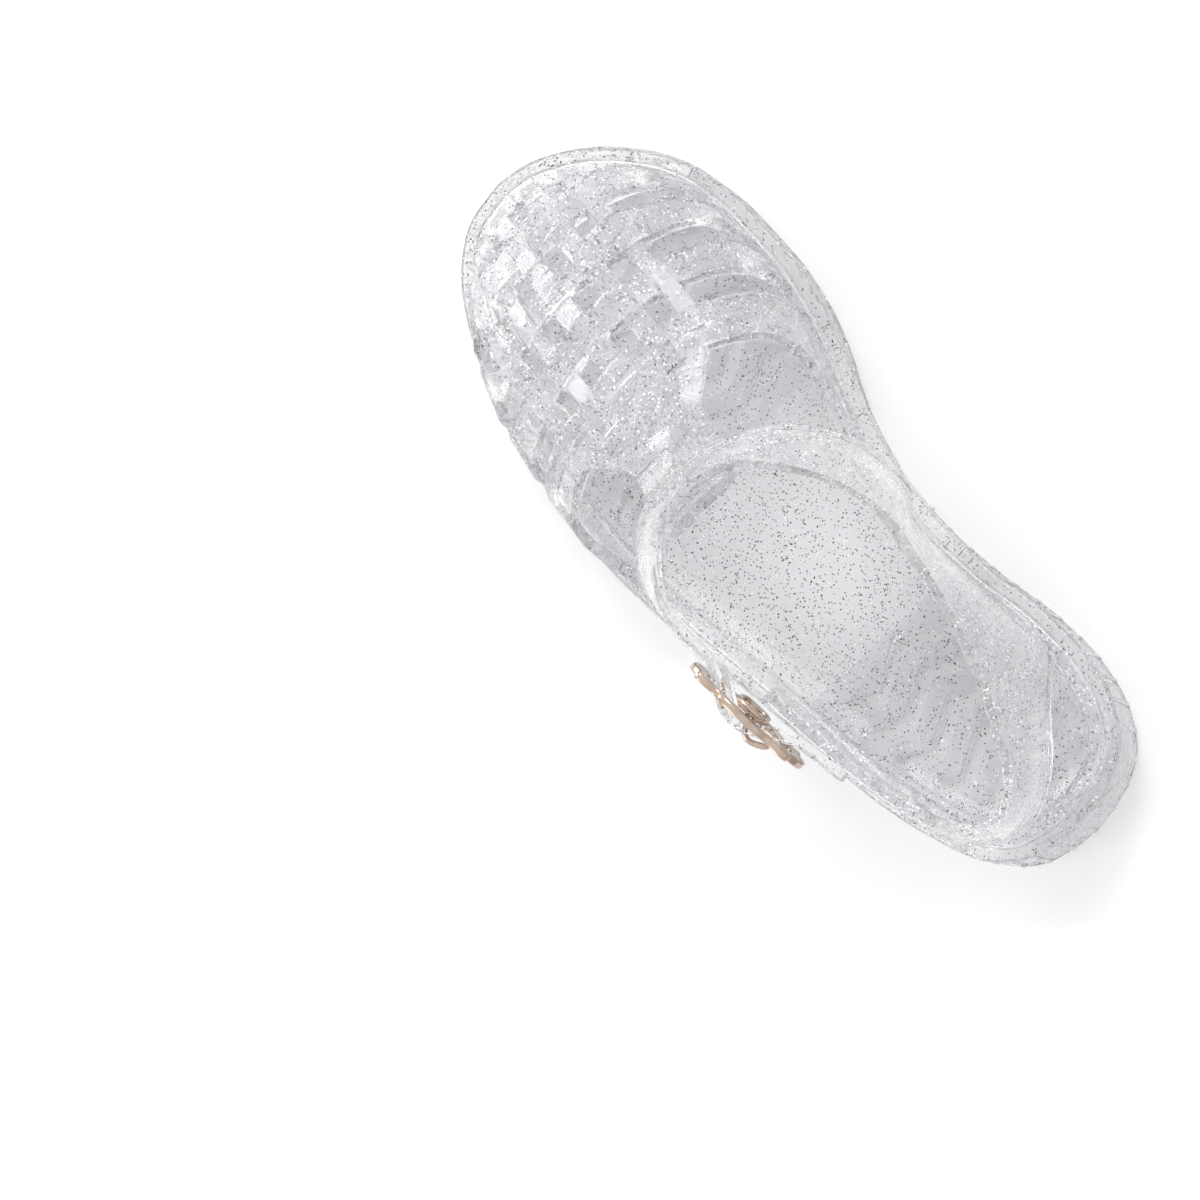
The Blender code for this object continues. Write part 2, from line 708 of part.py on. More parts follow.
def band():
    """Strap, quarters and heel band as one bent ribbon."""
    bm = bmesh.new()
    rows = along(BAND[1:], 2)
    lower, upper, bulge = rows[:, :3], rows[:, 3:6], rows[:, 6]
    middle = (lower + upper) / 2
    forward = np.gradient(middle, axis=0)
    across = 4
    points = []
    for i in range(len(rows)):
        normal = np.cross(upper[i] - lower[i], forward[i])
        normal /= np.linalg.norm(normal)
        row = []
        for k in range(across + 1):
            t = k / across
            spot = lower[i] + (upper[i] - lower[i]) * t + normal * bulge[i] * 4 * t * (1 - t)
            row.append(bm.verts.new(spot))
        points.append(row)
    for one, two in zip(points, points[1:]):
        for k in range(across):
            bm.faces.new((one[k], one[k + 1], two[k + 1], two[k]))
    bmesh.ops.recalc_face_normals(bm, faces=bm.faces)
    bm.faces.ensure_lookup_table()
    if bm.faces[0].normal.x > 0:
        bmesh.ops.reverse_faces(bm, faces=bm.faces)
    bm.normal_update()
    wall_inward(bm, {v: v.normal.copy() for v in bm.verts}, STRAP_WALL)
    return bm


def keeper():
    """The loop on the tab that holds the strap down."""
    bm = bmesh.new()
    down = Vector((math.cos(KEEPER_SLOPE), -math.sin(KEEPER_SLOPE)))
    off = Vector((math.sin(KEEPER_SLOPE), math.cos(KEEPER_SLOPE)))
    root = Vector(KEEPER_ROOT)
    path = [Vector(p) for p in KEEPER_PATH]
    rings = []
    for i, (s, n) in enumerate(path):
        before = path[max(i - 1, 0)]
        after = path[min(i + 1, len(path) - 1)]
        way = (after - before).normalized()
        inward = Vector((way.y, -way.x))
        ring = []
        for depth in (0, KEEPER_WALL):
            flat = Vector((s, n)) + inward * depth
            spot = root + down * flat.x + off * flat.y
            for x in KEEPER_SPAN if depth == 0 else KEEPER_SPAN[::-1]:
                ring.append(bm.verts.new((x, spot.x, spot.y)))
        rings.append(ring)
    for one, two in zip(rings, rings[1:]):
        loop_faces(bm, one, two)
    bm.faces.new(rings[0])
    bm.faces.new(rings[-1][::-1])
    return bm


def frame_axes():
    """Origin and axes of the buckle's plane: along the strap, up, and outward."""
    front, rear = Vector(FRAME_FRONT), Vector(FRAME_REAR)
    along_strap = (rear - front).normalized()
    up = Vector((0, 0, 1))
    up = (up - along_strap * up.dot(along_strap)).normalized()
    out = up.cross(along_strap)
    if out.x > 0:
        out = -out
    return (front + rear) / 2, along_strap, up, out, (rear - front).length


def frame_outline(half_length, half_height, wave, steps):
    """A rounded oblong with a gently waved edge."""
    found = []
    for i in range(steps):
        turn = 2 * math.pi * i / steps
        c, s = math.cos(turn), math.sin(turn)
        reach = 1 + wave / half_height * math.cos(2 * FRAME_WAVES * turn)
        a = math.copysign(abs(c) ** 0.6, c) * half_length * reach
        b = math.copysign(abs(s) ** 0.6, s) * half_height * reach
        found.append((a, b))
    return found


def buckle_frame():
    """A waved metal oblong ring crossed by an upright bar."""
    bm = bmesh.new()
    centre, strap, up, out, length = frame_axes()
    steps = 40
    outer = frame_outline(length / 2, FRAME_HALF_HEIGHT, FRAME_WAVE, steps)
    inner = frame_outline(length / 2 - FRAME_BORDER, FRAME_HALF_HEIGHT - FRAME_BORDER, 0.0, steps)
    rings = []
    for outline, depth in ((outer, 0.0), (outer, FRAME_THICK), (inner, FRAME_THICK), (inner, 0.0)):
        rings.append([bm.verts.new(centre + strap * a + up * b + out * depth) for a, b in outline])
    for one, two in zip(rings, rings[1:] + rings[:1]):
        loop_faces(bm, one, two)
    return bm


def tube(bm, path, radius, sides=8):
    """A round rod along the path, closed at both ends."""
    rings = []
    previous = None
    for i, spot in enumerate(path):
        way = (path[min(i + 1, len(path) - 1)] - path[max(i - 1, 0)]).normalized()
        if previous is None:
            previous = way.orthogonal().normalized()
        first = (previous - way * previous.dot(way)).normalized()
        previous = first
        second = way.cross(first)
        ring = []
        for k in range(sides):
            turn = 2 * math.pi * k / sides
            ring.append(bm.verts.new(spot + (first * math.cos(turn) + second * math.sin(turn)) * radius))
        rings.append(ring)
    for one, two in zip(rings, rings[1:]):
        loop_faces(bm, one, two)
    bm.faces.new(rings[0][::-1])
    bm.faces.new(rings[-1])


def centre_bar():
    bm = bmesh.new()
    centre, strap, up, out, length = frame_axes()
    reach = FRAME_HALF_HEIGHT - FRAME_BORDER + 1.2
    middle = centre + out * (FRAME_THICK / 2)
    tube(bm, [middle - up * reach, middle + up * reach], BAR_RADIUS)
    return bm


def prong():
    """A hook round the middle bar whose tongue lies on the strap."""
    bm = bmesh.new()
    centre, strap, up, out, length = frame_axes()
    middle = centre + out * (FRAME_THICK / 2)
    reach = BAR_RADIUS + SEAT_GAP + PRONG_RADIUS
    path = []
    for degrees in range(-60, 171, 33):
        turn = math.radians(degrees)
        path.append(middle + (strap * math.cos(turn) - out * math.sin(turn)) * reach)
    path = path[::-1]
    tip = path[-1]
    path += [tip + strap * a + out * b for a, b in PRONG_TONGUE]
    tube(bm, path, PRONG_RADIUS)
    return bm


def prong_hole():
    """The hole in the strap that the prong comes through."""
    bm = bmesh.new()
    centre, strap, up, out, length = frame_axes()
    middle = centre + out * (FRAME_THICK / 2 + PRONG_HOLE[3]) + strap * PRONG_HOLE[0]
    corners = bmesh.ops.create_cube(bm, size=2)["verts"]
    for vertex in corners:
        a, b, c = vertex.co
        vertex.co = middle + strap * a * PRONG_HOLE[1] + up * b * PRONG_HOLE[2] + out * c * PRONG_HOLE[3]
    return bm


def clip():
    """The wire loop between the middle bar and the lateral quarter."""
    bm = bmesh.new()
    centre, strap, up, out, length = frame_axes()
    middle = centre - out * (SEAT_GAP + CLIP_WIRE)
    path = []
    for degrees in range(15, 375, 30):
        turn = math.radians(degrees)
        c, s = math.cos(turn), math.sin(turn)
        a = math.copysign(abs(c) ** CLIP_SQUARE, c) * CLIP_REACH[0]
        b = math.copysign(abs(s) ** CLIP_SQUARE, s) * CLIP_REACH[1]
        path.append(middle + strap * a + up * b)
    rings = []
    for i, spot in enumerate(path):
        way = (path[(i + 1) % len(path)] - path[i - 1]).normalized()
        side = way.cross(out).normalized()
        ring = []
        for k in range(6):
            turn = 2 * math.pi * k / 6
            ring.append(bm.verts.new(spot + (side * math.cos(turn) + out * math.sin(turn)) * CLIP_WIRE))
        rings.append(ring)
    for one, two in zip(rings, rings[1:] + rings[:1]):
        loop_faces(bm, one, two)
    return bm


def build():
    for old in list(bpy.data.objects):
        bpy.data.objects.remove(old)
    clear = make_material("clear_vinyl", (0.86, 0.87, 0.91), 0.12, 0.0)
    metal = make_material("rose_metal", (0.78, 0.56, 0.44), 0.25, 1.0)

    outsole = new_object("outsole", sole_body, clear)
    join_to(outsole, new_object("tread_bars", tread_bars), "Tread")
    join_to(outsole, new_object("side_ribs", side_ribs), "Ribs")

    upper = new_object("upper", woven_vamp, clear)
    join_to(upper, new_object("base_rim", base_rim), "Rim")
    join_to(upper, new_object("band", band), "Band")
    join_to(upper, new_object("keeper", keeper), "Keeper")
    cut_from(upper, new_object("prong_hole", prong_hole), "Prong hole")

    frame = new_object("buckle_frame", buckle_frame, metal)
    join_to(frame, new_object("centre_bar", centre_bar), "Bar")
    new_object("buckle_prong", prong, metal)
    new_object("buckle_clip", clip, metal)


build()
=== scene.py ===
import math

import bmesh
import bpy
import numpy as np
from mathutils import Matrix, Vector


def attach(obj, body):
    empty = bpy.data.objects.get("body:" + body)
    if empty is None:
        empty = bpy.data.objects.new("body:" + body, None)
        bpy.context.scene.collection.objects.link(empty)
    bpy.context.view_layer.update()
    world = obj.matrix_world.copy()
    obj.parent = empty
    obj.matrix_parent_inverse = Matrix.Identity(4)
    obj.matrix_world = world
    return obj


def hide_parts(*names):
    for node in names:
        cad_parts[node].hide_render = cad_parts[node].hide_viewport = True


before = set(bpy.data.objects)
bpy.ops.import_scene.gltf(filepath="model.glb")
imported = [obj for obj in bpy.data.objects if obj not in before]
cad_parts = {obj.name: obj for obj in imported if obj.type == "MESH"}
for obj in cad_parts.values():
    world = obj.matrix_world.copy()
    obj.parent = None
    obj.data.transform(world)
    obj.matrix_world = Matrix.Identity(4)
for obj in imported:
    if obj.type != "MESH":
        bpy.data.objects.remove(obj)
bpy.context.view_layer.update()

planStations = 110
footStations = 120
ribStations = 160
soleSection = (
    ("inset", "fromTop", "height"),
    (4.7, False, 2.6),
    (4.4, False, 0.0),
    (2.0, False, 0.0),
    (1.2, False, 0.25),
    (0.7, False, 0.7),
    (0.45, False, 1.4),
    (0.5, False, 1.9),
    (0.85, False, 2.3),
    (0.85, True, -2.7),
    (0.35, True, -2.15),
    (0.05, True, -1.7),
    (0.0, True, -1.1),
    (0.15, True, -0.45),
    (0.45, True, -0.12),
    (0.9, True, 0.0),
    (2.1, True, 0.0),
    (2.5, True, -0.15),
    (2.7, True, -0.5),
    (2.7, True, -2.3),
    (6.2, True, -2.3),
    (6.2, True, -1.3),
    (6.5, True, -0.95),
    (7.4, True, -1.3),
    (8.6, True, -2.2),
)
# The footbed's dish: share of the last ring's width, share of its length, drop
dishRows = ((0.86, 0.975, -0.35), (0.7, 0.95, -0.65), (0.5, 0.92, -0.8))
rimSection = ((3.0, -2.0), (3.0, 0.0), (3.25, 0.3), (5.6, 0.3), (5.9, 0.0), (5.9, -2.0))

mm = 0.001
# The middle of the bounding box, in the tables' own measure
boxMiddle = Vector((0.239, 0.35, 0.0))
# Walls and clearances
strapWall = 2.2
weaveLift = 1.0
weldReach = 1e-4
footInset = 3.2
seatGap = 0.3
treadRim = 4.6
barHalf = 2.0
barPitch = 8.0
barSwing = 5.0
barHalfWave = 9.6
spineX = -3.0
heelRow = (-36.0, 6)
foreRow = (24.0, 7)
barClear = 1.4
peakClear = 1.5
barTop = 3.4
ribPitch = 5.5
ribWidth = 1.6
ribDepth = 2.0
ribSunk = 0.2
ribTaper = 0.6
ribFoot = 1.7
ribHead = 1.6
ribsEndY = -14.0
# Vamp
medialPower = 2.35
lateralPower = 3.0
lateralBulge = 5.6
medialBulge = 1.4
fullBulgeHalf = 28.0
footSunk = 1.0
longCount = 5
crossCount = 4
# Share of the lift that is left one edge beyond the outermost crossings
endLift = 0.6
searchSteps = 40
# Each step to a crossing keeps this share of the new angle
easeSteps = 30
easeShare = 0.6
toeSearchFrom = 60.0
crownForward = 0.4
outlineRows = (
    ("y", "medial", "lateral"),
    (-86.9, -0.6, -0.6),
    (-86.3, 4.5, -5.6),
    (-84.6, 10.6, -11.6),
    (-81.5, 15.8, -16.0),
    (-77.0, 19.4, -19.4),
    (-70.0, 22.3, -22.2),
    (-60.0, 23.7, -25.0),
    (-50.0, 23.2, -26.9),
    (-38.0, 21.1, -28.3),
    (-25.0, 20.0, -29.8),
    (-15.0, 20.6, -31.1),
    (-3.0, 22.9, -32.6),
    (6.0, 25.8, -33.5),
    (16.0, 29.8, -34.0),
    (26.0, 32.8, -33.6),
    (38.0, 34.6, -32.4),
    (50.0, 34.8, -30.4),
    (60.0, 33.6, -27.3),
    (68.0, 30.6, -23.8),
    (75.0, 25.6, -19.6),
    (80.0, 20.6, -15.6),
    (84.0, 14.6, -10.6),
    (86.6, 8.6, -5.0),
    (87.6, 2.6, 2.6),
)
# Height of the flange and of the ground side: flat heel, arch, flat forefoot, toe spring
sideHeights = (
    ("y", "top", "bottom"),
    (-88.0, 18.6, 0.0),
    (-60.0, 17.6, 0.0),
    (-40.0, 15.2, 0.0),
    (-34.0, 14.6, 0.6),
    (-24.0, 13.8, 3.2),
    (-10.0, 13.2, 5.8),
    (4.0, 12.8, 5.2),
    (18.0, 12.3, 1.6),
    (28.0, 12.0, 0.0),
    (40.0, 11.8, 0.0),
    (62.0, 12.3, 0.0),
    (70.0, 13.2, 0.8),
    (80.0, 14.9, 3.2),
    (88.0, 16.5, 6.2),
)
ridgeRows = (
    ("y", "height", "x"),
    (-4.0, 47.0, -4.0),
    (20.0, 44.0, -3.0),
    (28.0, 40.2, -2.6),
    (36.0, 37.6, -2.0),
    (45.0, 35.0, -1.0),
    (55.0, 32.2, 0.0),
    (65.0, 28.6, 1.0),
    (72.0, 25.0, 1.8),
    (78.0, 20.6, 2.2),
    (82.0, 16.8, 2.6),
    (84.2, 13.5, 2.6),
)
toeEnd = 84.2
# Edges of the five long strips, medial to lateral
longEdges = (17.0, 13.5, 9.0, 4.5, 0.0, -5.0, -9.0, -13.0, -16.0, -20.5)
# Shares of the way from the foot of the vamp up to the long strips, and from their start to the toe
sideSteps = (0.0, 0.2, 0.42, 0.62, 0.82)
toeSteps = (1.0, 0.96, 0.8, 0.45)
toeDrawFrom = 60.0
toeDrawTo = 78.0
lateralDraw = 0.28
medialDraw = 0.05
# Edges of the four cross strips: y at each angle round the vamp, 0 medial to 180 lateral
crossAngles = (0, 20, 45, 70, 90, 110, 135, 160, 180)
crossEdges = (
    ("first front", 68.0, 71.5, 74.8, 77.0, 78.0, 77.0, 74.6, 71.0, 67.5),
    ("first rear", 57.0, 61.0, 65.4, 67.8, 68.6, 68.0, 66.2, 63.0, 59.5),
    ("second front", 50.0, 54.7, 60.3, 62.9, 63.2, 62.8, 60.5, 57.0, 53.0),
    ("second rear", 40.5, 48.4, 52.4, 54.7, 56.3, 55.0, 51.8, 49.0, 46.0),
    ("third front", 36.5, 43.6, 46.9, 49.3, 50.9, 49.6, 46.8, 44.0, 40.0),
    ("third rear", 30.5, 34.6, 39.4, 43.0, 44.4, 41.9, 38.5, 35.5, 32.0),
    ("fourth front", 23.5, 28.2, 32.8, 36.8, 38.6, 36.8, 33.0, 29.0, 26.0),
    ("fourth middle", 11.5, 22.2, 28.0, 32.2, 33.8, 32.4, 28.5, 22.5, 15.0),
    ("fourth rear", -3.0, 16.2, 23.3, 28.0, 29.0, 28.0, 24.0, 15.0, 2.0),
)
# The T-bar's outer surface along its middle, its two edges and how much it rounds over
tBarRows = (
    ("y", "height", "medial", "lateral", "crown"),
    (24.6, 41.4, 9.6, -16.4, 2.6),
    (22.5, 42.0, 7.4, -15.0, 2.2),
    (19.8, 43.0, 5.6, -14.0, 1.9),
    (17.2, 44.6, 4.8, -13.9, 1.7),
    (14.2, 46.6, 4.5, -14.3, 1.6),
    (10.8, 49.6, 4.5, -14.6, 1.6),
    (7.6, 53.0, 4.5, -14.9, 1.6),
    (4.9, 56.6, 4.4, -15.2, 1.5),
    (2.7, 59.7, 4.1, -15.0, 1.4),
    (1.0, 62.1, 2.9, -14.2, 1.3),
    (-0.5, 64.2, 0.0, -11.4, 1.1),
)
# Strap, quarters and heel band as one ribbon, from the strap's free end on the lateral side,
# over the T-bar, down the medial side, round the heel and back to the lateral flange.
# Each row is one section of the outer surface: its lower edge, its upper edge, its bulge.
bandRows = (
    ("lower_x", "lower_y", "lower_z", "upper_x", "upper_y", "upper_z", "bulge"),
    (-26.0, -51.5, 32.6, -25.8, -51.3, 36.6, 0.0),
    (-26.3, -49.0, 30.6, -26.0, -48.6, 38.2, 0.1),
    (-26.9, -44.5, 30.6, -26.7, -44.0, 39.8, 0.1),
    (-27.8, -40.0, 32.0, -27.6, -39.8, 39.8, 0.1),
    (-31.0, -35.5, 32.7, -30.8, -35.3, 40.5, 0.1),
    (-33.3, -31.5, 33.2, -33.1, -31.3, 41.2, 0.1),
    (-33.1, -27.0, 33.9, -32.9, -26.8, 41.9, 0.1),
    (-30.8, -23.2, 34.6, -30.6, -23.0, 42.5, 0.1),
    (-28.6, -18.4, 35.2, -28.3, -18.6, 43.4, 0.1),
    (-28.9, -9.5, 36.4, -28.4, -13.4, 46.8, 0.3),
    (-28.4, -2.5, 39.2, -27.4, -9.0, 49.8, 0.5),
    (-26.6, 2.6, 43.0, -25.2, -4.8, 53.4, 0.6),
    (-22.6, 6.8, 46.8, -20.8, -0.6, 56.6, 0.7),
    (-18.4, 9.2, 49.3, -17.4, 2.4, 58.2, 0.5),
    (-14.2, 10.4, 51.4, -14.4, 3.9, 59.6, 0.3),
    (-9.0, 10.5, 52.7, -9.4, 4.6, 60.7, 0.2),
    (-4.0, 10.1, 52.9, -4.4, 4.4, 60.9, 0.2),
    (1.0, 9.2, 52.8, 0.4, 3.2, 60.9, 0.2),
    (5.3, 7.7, 53.2, 4.4, 1.4, 61.1, 0.3),
    (8.7, 5.8, 53.6, 7.9, -2.2, 61.3, 0.5),
    (12.5, 3.8, 53.6, 11.0, -6.2, 60.4, 0.6),
    (17.0, -0.1, 52.8, 13.6, -9.8, 58.9, 0.7),
    (20.3, -4.3, 50.6, 15.5, -13.8, 57.2, 0.8),
    (22.8, -8.9, 47.4, 17.0, -18.0, 54.8, 0.8),
    (23.6, -13.0, 44.0, 17.8, -21.6, 52.3, 0.8),
    (23.6, -17.2, 39.6, 17.9, -24.4, 50.6, 0.9),
    (22.4, -19.6, 30.0, 17.6, -27.2, 48.8, 1.0),
    (17.2, -18.0, 12.6, 17.0, -30.6, 47.2, 1.6),
    (16.9, -27.0, 12.9, 16.2, -34.4, 46.3, 1.8),
    (17.9, -38.0, 13.9, 15.0, -40.0, 46.0, 1.8),
    (19.6, -48.0, 15.1, 13.1, -48.6, 46.4, 1.6),
    (20.4, -56.0, 16.2, 10.6, -56.6, 47.0, 1.3),
    (17.6, -62.5, 23.4, 8.0, -63.6, 47.6, 0.9),
    (13.0, -69.0, 29.6, 5.0, -69.6, 48.0, 0.7),
    (8.6, -75.6, 33.0, 2.6, -75.0, 48.6, 0.5),
    (3.8, -80.6, 34.8, -0.2, -79.4, 49.2, 0.5),
    (-1.8, -83.6, 35.2, -4.2, -82.2, 49.2, 0.5),
    (-8.2, -83.9, 34.0, -9.4, -82.4, 47.6, 0.5),
    (-14.0, -80.4, 31.6, -14.0, -79.2, 45.2, 0.6),
    (-18.0, -74.0, 27.6, -17.6, -73.4, 43.2, 0.8),
    (-20.6, -66.4, 21.2, -20.2, -66.2, 41.8, 1.0),
    (-22.2, -58.0, 16.4, -22.0, -58.0, 41.0, 1.2),
    (-23.8, -50.0, 15.5, -23.2, -50.2, 40.6, 1.2),
    (-24.9, -41.0, 14.3, -24.2, -42.2, 40.2, 1.2),
    (-25.8, -32.0, 13.4, -25.0, -35.0, 39.6, 0.8),
    (-26.6, -24.0, 12.8, -25.2, -30.0, 38.4, 0.5),
)
# Keeper loop: distance down the T-bar from its root, and height off the T-bar
keeperRoot = (2.1, 60.6)
keeperSlope = math.radians(51.5)
keeperPath = ((0.0, -1.5), (0.0, 4.2), (0.9, 5.1), (14.4, 5.1), (15.6, 4.0), (16.4, -1.5))
keeperWall = 2.0
keeperSpan = (-4.0, -12.5)
# Buckle
frameFront = (-29.8, -16.9, 39.6)
frameRear = (-28.6, -43.3, 35.4)
frameThick = 1.5
frameHalfHeight = 8.6
frameBorder = 2.6
frameWaves = 4
frameWave = 0.7
barRadius = 0.68
prongRadius = 0.75
prongTongue = ((1.6, 2.3), (4.2, 1.6), (6.6, 0.0))
# The prong's hole: its offset along the strap, half its length, width and depth
prongHole = (1.7, 3.0, 1.5, 2.8)
clipWire = 0.7
clipReach = (3.4, 4.9)
clipSquare = 0.5
# How square the plate's outline is, its points, and how far the middle bar runs into it
plateSquare = 0.6
plateSteps = 96
barOverlap = 1.2
# Degrees of the prong's hook round the bar and of the wire loop, and the wire's sides
prongTurns = range(-60, 171, 33)
clipTurns = range(15, 375, 30)
wireSides = 6


def reader(table, name):
    # A smooth monotone curve through one named column of a table, against its first column
    at = [row[0] for row in table[1:]]
    value = [row[table[0].index(name)] for row in table[1:]]
    return monotone(at, value)


def monotone(at, value):
    # Piecewise cubic through the points that never overshoots them
    at = np.asarray(at, float)
    value = np.asarray(value, float)
    step = np.diff(at)
    rise = np.diff(value) / step
    slope = np.zeros(len(at))
    slope[0] = rise[0]
    slope[-1] = rise[-1]
    for i in range(1, len(at) - 1):
        if rise[i - 1] * rise[i] > 0:
            before = 2 * step[i] + step[i - 1]
            after = step[i] + 2 * step[i - 1]
            slope[i] = (before + after) / (before / rise[i - 1] + after / rise[i])

    def read(x):
        x = min(max(float(x), at[0]), at[-1])
        i = min(int(np.searchsorted(at, x, side="right")) - 1, len(step) - 1)
        t = (x - at[i]) / step[i]
        start = (1 + 2 * t) * (1 - t) ** 2 * value[i] + t * (1 - t) ** 2 * step[i] * slope[i]
        end = t * t * (3 - 2 * t) * value[i + 1] + t * t * (t - 1) * step[i] * slope[i + 1]
        return float(start + end)

    return read


def along(rows, steps):
    # Rows of numbers with smooth rows added between each pair
    rows = np.asarray(rows, float)
    padded = np.vstack([2 * rows[0] - rows[1], rows, 2 * rows[-1] - rows[-2]])
    found = []
    for i in range(len(rows) - 1):
        a, b, c, d = padded[i : i + 4]
        for k in range(steps):
            t = k / steps
            bend = (2 * a - 5 * b + 4 * c - d) * t * t + (3 * b - a - 3 * c + d) * t ** 3
            found.append(0.5 * (2 * b + (c - a) * t + bend))
    found.append(rows[-1])
    return np.array(found)


medialEdge = reader(outlineRows, "medial")
lateralEdge = reader(outlineRows, "lateral")
flangeHeight = reader(sideHeights, "top")
groundHeight = reader(sideHeights, "bottom")
ridgeHeight = reader(ridgeRows, "height")
ridgeX = reader(ridgeRows, "x")


def planLoop(stations=planStations):
    # The sole's outline as one loop: up the medial side, back down the lateral side
    heel = outlineRows[1][0]
    toe = outlineRows[-1][0]
    turn = np.linspace(0, math.pi, stations)[1:-1]
    ys = (heel + toe) / 2 - (toe - heel) / 2 * np.cos(turn)
    medial = [(medialEdge(y), y) for y in ys]
    lateral = [(lateralEdge(y), y) for y in ys[::-1]]
    return np.array([(outlineRows[1][1], heel), *medial, (outlineRows[-1][1], toe), *lateral])


def insetLoop(loop, inset):
    # The loop moved inward along its own normals
    ahead = np.roll(loop, -1, axis=0) - loop
    behind = loop - np.roll(loop, 1, axis=0)
    ahead /= np.linalg.norm(ahead, axis=1)[:, None]
    behind /= np.linalg.norm(behind, axis=1)[:, None]
    tangent = ahead + behind
    tangent /= np.linalg.norm(tangent, axis=1)[:, None]
    inward = np.stack([-tangent[:, 1], tangent[:, 0]], axis=1)
    return loop + inward * inset


def footLines():
    # Where the upper's wall meets the flange: x against y on each side
    loop = insetLoop(planLoop(footStations), footInset)
    toe = int(np.argmax(loop[:, 1]))
    heel = int(np.argmin(loop[:, 1]))
    medial = loop[heel : toe + 1]
    lateral = np.vstack([loop[toe:], loop[: heel + 1]])[::-1]
    return medial, lateral


medialFoot, lateralFoot = footLines()


def footX(y, medial):
    line = medialFoot if medial else lateralFoot
    return float(np.interp(y, line[:, 1], line[:, 0]))


def loopFaces(bm, lower, upper):
    # Quads between two closed rings of the same count
    count = len(lower)
    for i in range(count):
        j = (i + 1) % count
        bm.faces.new((lower[i], lower[j], upper[j], upper[i]))


def capAcross(bm, ring):
    # Closes a plan ring with quads from its medial side to its lateral side
    count = len(ring)
    half = count // 2
    for i in range(half):
        corners = [ring[i], ring[i + 1], ring[(count - i - 1) % count], ring[(count - i) % count]]
        bm.faces.new(list(dict.fromkeys(corners)))


def zigzag(y0, left, right):
    # Corner points of one chevron bar, from its lateral end to its medial end
    peaks = [spineX + k * barHalfWave for k in range(-3, 4)]
    xs = [left] + [x for x in peaks if left + peakClear < x < right - peakClear] + [right]
    phases = [abs(((x - spineX) / barHalfWave) % 2 - 1) for x in xs]
    return [(x, y0 + barSwing * (phase - 0.5)) for x, phase in zip(xs, phases)]


def treadBars():
    bm = bmesh.new()
    heelBars = [heelRow[0] - barPitch * i for i in range(heelRow[1])]
    foreBars = [foreRow[0] + barPitch * i for i in range(foreRow[1])]
    for y0 in heelBars + foreBars:
        reach = treadRim + barClear
        near = (y0 - barPitch / 2, y0, y0 + barPitch / 2)
        left = max(lateralEdge(y) for y in near) + reach
        right = min(medialEdge(y) for y in near) - reach
        sections = []
        for x, y in zigzag(y0, left, right):
            under = groundHeight(y)
            back, front = y - barHalf, y + barHalf
            corners = ((back, 0.0), (front, 0.0), (front, barTop), (back, barTop))
            sections.append([bm.verts.new((x, cy, under + up)) for cy, up in corners])
        for one, two in zip(sections, sections[1:]):
            loopFaces(bm, one, two)
        bm.faces.new(sections[0])
        bm.faces.new(sections[-1][::-1])
    return bm


def sideRibs():
    # Upright ribs round the heel and waist of the side wall
    bm = bmesh.new()
    loop = planLoop(ribStations)
    edge = np.vstack([loop, loop[:1]])
    length = np.concatenate([[0], np.cumsum(np.linalg.norm(np.diff(edge, axis=0), axis=1))])
    outward = loop - insetLoop(loop, 1.0)
    outward = np.vstack([outward, outward[:1]])
    count = round(length[-1] / ribPitch)
    for s in np.linspace(0, length[-1], count, endpoint=False):
        x, y = (np.interp(s, length, edge[:, k]) for k in (0, 1))
        if y > ribsEndY:
            continue
        away = Vector([np.interp(s, length, outward[:, k]) for k in (0, 1)] + [0]).normalized()
        side = Vector((-away.y, away.x, 0))
        low = groundHeight(y) + ribFoot
        high = flangeHeight(y) - ribHead
        centre = Vector((x, y, 0))
        rings = []
        for z in (low, high):
            inner, outer = -ribDepth, -ribSunk
            corners = ((-1, inner), (1, inner), (ribTaper, outer), (-ribTaper, outer))
            spots = [centre + side * (a * ribWidth / 2) + away * b for a, b in corners]
            rings.append([bm.verts.new((p.x, p.y, z)) for p in spots])
        loopFaces(bm, *rings)
        bm.faces.new(rings[0])
        bm.faces.new(rings[1][::-1])
    return bm


def vampPoint(y, angle):
    # The last's surface at y, at an angle from the medial foot (0) to the lateral foot (180)
    turn = math.radians(angle)
    c, s = math.cos(turn), max(math.sin(turn), 0.0)
    medial = c > 0
    base = flangeHeight(y) - footSunk
    half = max(abs(footX(y, medial) - ridgeX(y)), 0.01)
    bulge = (medialBulge if medial else lateralBulge) * min(half / fullBulgeHalf, 1.0)
    half += bulge * math.sin(2 * min(turn, math.pi - turn)) ** 2
    power = medialPower if medial else lateralPower
    x = ridgeX(y) + math.copysign(half * abs(c) ** (2 / power), c)
    z = base + max(ridgeHeight(y) - base, 0.0) * s ** (2 / power)
    return x, y, z


def angleAt(x, y):
    # The angle at which the section at y passes through x
    low, high = 0.0, 180.0
    for _ in range(searchSteps):
        middle = (low + high) / 2
        if vampPoint(y, middle)[0] > x:
            low = middle
        else:
            high = middle
    return (low + high) / 2


def crossEdge(row):
    return monotone(crossAngles, crossEdges[row][1:])


def longEdgeX(x, y):
    # A long strip's edge drawn in towards the middle of the toe
    share = min(max((y - toeDrawFrom) / (toeDrawTo - toeDrawFrom), 0.0), 1.0)
    return x * (1 - share * (lateralDraw if x < 0 else medialDraw))


def spotOnLongEdge(x, edge):
    # Where a long strip's edge crosses a cross strip's edge: its y and its angle
    angle = 90.0
    for _ in range(easeSteps):
        y = edge(angle)
        found = angleAt(longEdgeX(x, y), y)
        angle = easeShare * found + (1 - easeShare) * angle
    return edge(angle), angle


